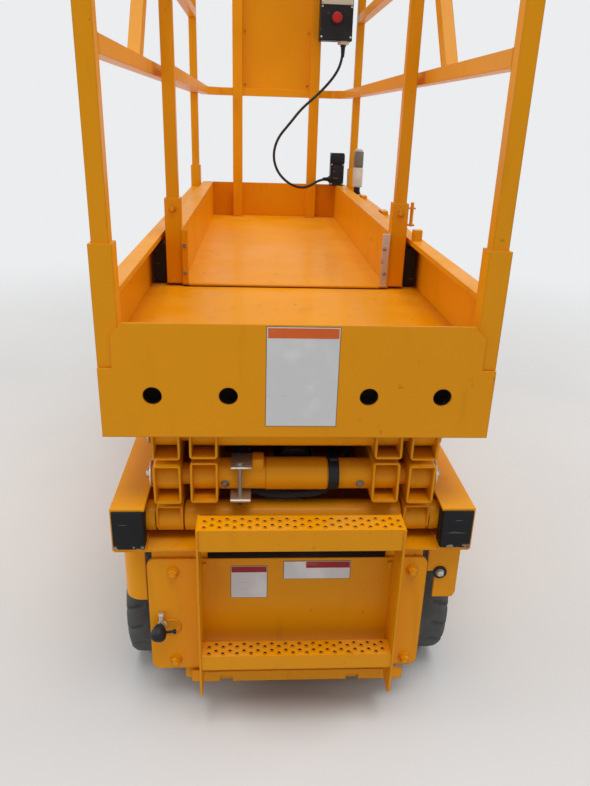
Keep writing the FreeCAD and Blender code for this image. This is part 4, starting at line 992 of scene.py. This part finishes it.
def extension_trim():
    """Strips on the near ends of the extension's walls and deck, and a black strip under the deck's
    near edge that darkens the gap there as painted shade.
    """
    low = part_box("extension_deck")[0]
    front, back, foot = -0.3792, -0.3764, 0.8990
    form = Form().block((0.2800, front, foot), (0.3018, back, 1.0555), 0.0006, 1)
    form.piece("wall_strip", "extension", ZINC)
    for name, places in (("wall_strip_bolts", ((0.2870, 1.011), (0.2920, 0.938))),
                         ("left_strip_bolts", ((-0.2965, 0.931), (-0.2965, 1.009)))):
        bolts(name, "extension", [((x, front, z), FRONT) for x, z in places],
              0.008, 0.004, OLD_STEEL)
    form = Form().block((-0.3052, front, foot), (-0.2870, back, 1.0550), 0.0006, 1)
    form.block((-0.2860, low.y - 0.0015, low.z + 0.003), (0.2790, low.y + 0.016, foot), 0.0006)
    form.piece("deck_edge_strip", "extension", ENAMEL)
    # Painted shade: a black strip that darkens the gap under the deck's near edge.
    form = Form().block((low.x + 0.004, low.y - 0.0012, 0.8902), (0.2790, low.y + 0.0040, 0.8934),
                        0.0004, 1)
    form.piece("deck_gap_shade_strip", "extension", BLACK_PLASTIC)


def screws(name, body, low, high, inset, heights):
    """Small screws along both sides of a box's near face."""
    seeds = [((x, low.y, z), FRONT) for x in (low.x + inset, high.x - inset) for z in heights]
    bolts(name, body, seeds, 0.005, 0.002)


def panel_fittings():
    """Rivets of the far panel, hinged lid and screws of the cable socket."""
    seeds = [((x, 1.1280, z), FRONT) for x in (-0.145, 0.145) for z in (1.50, 1.72, 1.94)]
    bolts("panel_rivets", "extension", seeds, 0.007, 0.003, ENAMEL)
    low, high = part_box("cable_socket")
    form = Form()
    form.block((low.x - 0.004, low.y - 0.005, 1.160), (high.x + 0.002, low.y + 0.004, 1.200), 0.003)
    form.block((low.x + 0.010, low.y - 0.004, 1.072), (high.x - 0.010, low.y + 0.001, 1.150))
    form.turned([(0.0155, 0.0), (0.0155, 0.008)], (low.x - 0.0005, 1.100, 1.085), LEFT, 24,
                tip=0.009)
    form.piece("socket_lid", "extension", BLACK_PLASTIC)
    screws("socket_screws", "extension", low, high, 0.005, (1.064, 1.154))


def switch():
    """The switch box in its three tones, standing in for the plain block."""
    low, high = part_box("switch_box")
    form = Form().block((low.x, low.y, 1.068), (high.x, high.y, 1.156), 0.005, 3)
    body = form.piece("switch_body", "platform", GREY_PLASTIC)
    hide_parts("switch_box")
    form = Form().block((low.x + 0.001, low.y + 0.002, 1.150),
                        (high.x - 0.001, high.y - 0.001, 1.226), 0.006, 3)
    form.block((low.x + 0.005, low.y - 0.002, 1.162), (high.x - 0.005, low.y + 0.004, 1.214))
    form.piece("switch_cover", "platform", SMOKED)
    form = Form().block((low.x + 0.006, low.y + 0.006, 1.222),
                        (high.x - 0.006, high.y - 0.008, 1.2355), 0.004, 3)
    form.piece("switch_cap", "platform", GREY_PLASTIC)
    middle = ((low.x + high.x) / 2, (low.y + high.y) / 2)
    form = Form()
    form.turned([(0.017, 0.0), (0.017, 0.010)], middle + (1.0365,), UP, 6)
    form.turned([(0.0145, 0.0), (0.0145, 0.024)], middle + (1.0450,), UP, 24)
    form.piece("switch_gland", "platform", BLACK_PLASTIC)
    screws("switch_screws", "platform", low, high, 0.006, (1.076, 1.143))


rail_welds()
sleeve_pins()
extension_trim()
panel_fittings()
switch()


# Control box: stop button, joystick, keys and blank faces

def controls():
    """The box's faceplate, stop button, four keys, joystick, edge bands, screws and gland nut."""
    face, top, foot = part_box("control_box")[0].y, 1.957, 1.688
    low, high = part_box("stop_button")
    stop = ((low.x + high.x) / 2, face, (low.z + high.z) / 2)
    form = Form().turned([(0.012, 0.0), (0.012, 0.013), (0.0205, 0.015), (0.0220, 0.018),
                          (0.0220, 0.026), (0.0195, 0.0305), (0.012, 0.0318)],
                         stop, FRONT, 40, tip=0.0320)
    shaped = form.piece("stop_mushroom", "extension", RED_PLASTIC)
    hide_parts("stop_button")
    form = Form()
    form.block((0.1925, face - 0.0030, 1.828), (0.3325, face + 0.0005, top - 0.004), 0.0015)
    form.block((0.2010, face - 0.0048, 1.900), (0.2450, face - 0.0020, 1.940), 0.001)
    form.piece("control_faceplate", "extension", GREY_PLASTIC)
    form = Form().turned([(0.0265, 0.0), (0.0265, 0.004), (0.0225, 0.0065)], stop, FRONT, 40)
    for x, z in ((0.285, 1.925), (0.310, 1.925), (0.215, 1.860), (0.300, 1.865)):
        form.turned([(0.0095, 0.0), (0.0095, 0.004), (0.0070, 0.006), (0.0070, 0.011)],
                    (x, face - 0.0028, z), FRONT, 24, tip=0.0115)
    for z in (foot, top - 0.006):
        form.block((0.1895, face - 0.002, z), (0.3355, face + 0.071, z + 0.006))
    joystick = [(0.018, 0.0), (0.0175, 0.004), (0.0125, 0.006), (0.0145, 0.009), (0.0105, 0.011),
                (0.0115, 0.014), (0.0048, 0.018), (0.0048, 0.024), (0.0095, 0.026), (0.0115, 0.031),
                (0.0095, 0.0365)]
    form.turned(joystick, (0.2975, face + 0.026, top - 0.001), UP, tip=0.038)
    form.piece("control_keys", "extension", BLACK_PLASTIC)
    seeds = [((x, face - 0.0001, z), FRONT) for x in (0.197, 0.328) for z in (foot + 0.012, 1.820)]
    seeds += [((x, face - 0.0030, z), FRONT) for x in (0.198, 0.327) for z in (1.835, 1.946)]
    bolts("control_screws", "extension", seeds, 0.006, 0.003)
    form = Form().turned([(0.0262, 0.0), (0.0262, 0.015)], (0.300, 1.066, 1.6725), UP, 6)
    form.piece("gland_nut", "extension", GREY_PLASTIC)


controls()


def sleeve(name, place, direction, length):
    """A ribbed tapered sleeve round the cable, where it leaves a gland."""
    ribs, foot, taper = 9, 0.0115, 0.0038
    profile = [(foot, 0.0)]
    for i in range(ribs):
        along = length * (i + 0.5) / ribs
        radius = foot - taper * i / ribs
        profile += [(radius, along), (radius, along + length / 30),
                    (radius - 0.0013, along + length / 28), (radius - 0.0013, along + length / 11)]
    form = Form().turned(profile, place, direction, 24, tip=length)
    form.piece(name, "extension", BLACK_PLASTIC)


sleeve("gland_sleeve", (0.300, 1.066, 1.6730), DOWN, 0.050)
sleeve("socket_sleeve", (0.2725, 1.100, 1.085), LEFT, 0.036)


# Stage

BACKDROP = colour(236, 237, 238)
LAMPS = (  # name, kind, place, aim, size in metres or angle, power
    ("overhead", "SUN", (0.3, -1.35, 7.6), (0, 0, 0.6), math.radians(37), 1.88),
    ("left_window", "AREA", (-4.8, -0.8, 3.2), (0, 0, 0.8), 2.8, 88),
    ("right_window", "AREA", (4.4, -0.2, 3.0), (0, 0, 0.8), 2.4, 66))


def backdrop_rays(graph):
    """1 where the camera, a gloss or a clear piece looks at the background, 0 for its light."""
    camera, gloss, clear = (graph.node("ShaderNodeLightPath", out=name) for name in (
        "Is Camera Ray", "Is Glossy Ray", "Is Transmission Ray"))
    return camera + gloss + clear


def lay_floor():
    """A pale floor that fades into the background away from the lift."""
    bpy.ops.mesh.primitive_circle_add(vertices=64, radius=30, fill_type="NGON")
    floor = bpy.context.object
    floor.name = "floor"
    coat = Finish("pale_floor", colour(202, 202, 201), 0.75)
    away = coat.node("ShaderNodeVectorMath", {"operation": "LENGTH"}, out=1, i0=coat.place)
    glow = coat.node("ShaderNodeEmission", Color=BACKDROP, Strength=1.0)
    coat.stain(coat.between(coat.noise(1.4, 5.0), 0.4, 0.7) * 0.12, colour(180, 182, 184))
    coat.done()
    lit = Value(coat, coat.shader.outputs[0])
    mixed = coat.node("ShaderNodeMixShader", i1=lit, i2=glow,
                      i0=coat.between(away, 1.9, 5.0) * backdrop_rays(coat))
    coat.feed(coat.tree.nodes["Material Output"].inputs[0], mixed)
    floor.data.materials.append(coat.material)


def light():
    """An even sky, a soft sun overhead and a window on each side."""
    world = bpy.data.worlds.new("studio")
    world.use_nodes = True
    bpy.context.scene.world = world
    sky = Graph(world.node_tree)
    seen = backdrop_rays(sky)
    plain = sky.node("ShaderNodeBackground", Color=BACKDROP, Strength=1.0)
    soft = sky.node("ShaderNodeBackground", Color=(1, 1, 1, 1), Strength=0.39)
    sky.feed(world.node_tree.nodes["World Output"].inputs[0],
             sky.node("ShaderNodeMixShader", i0=seen, i1=soft, i2=plain))
    for name, kind, place, aim, size, power in LAMPS:
        lamp = bpy.data.lights.new(name, kind)
        if kind == "SUN":
            lamp.angle = size
        else:
            lamp.shape = "DISK"
            lamp.size = size
        lamp.energy = power
        holder = bpy.data.objects.new(name, lamp)
        bpy.context.collection.objects.link(holder)
        aimed = (Vector(place) - Vector(aim)).to_track_quat("Z", "Y").to_matrix().to_4x4()
        holder.matrix_world = Matrix.Translation(place) @ aimed
    bpy.context.scene.view_settings.view_transform = "Standard"


lay_floor()
light()
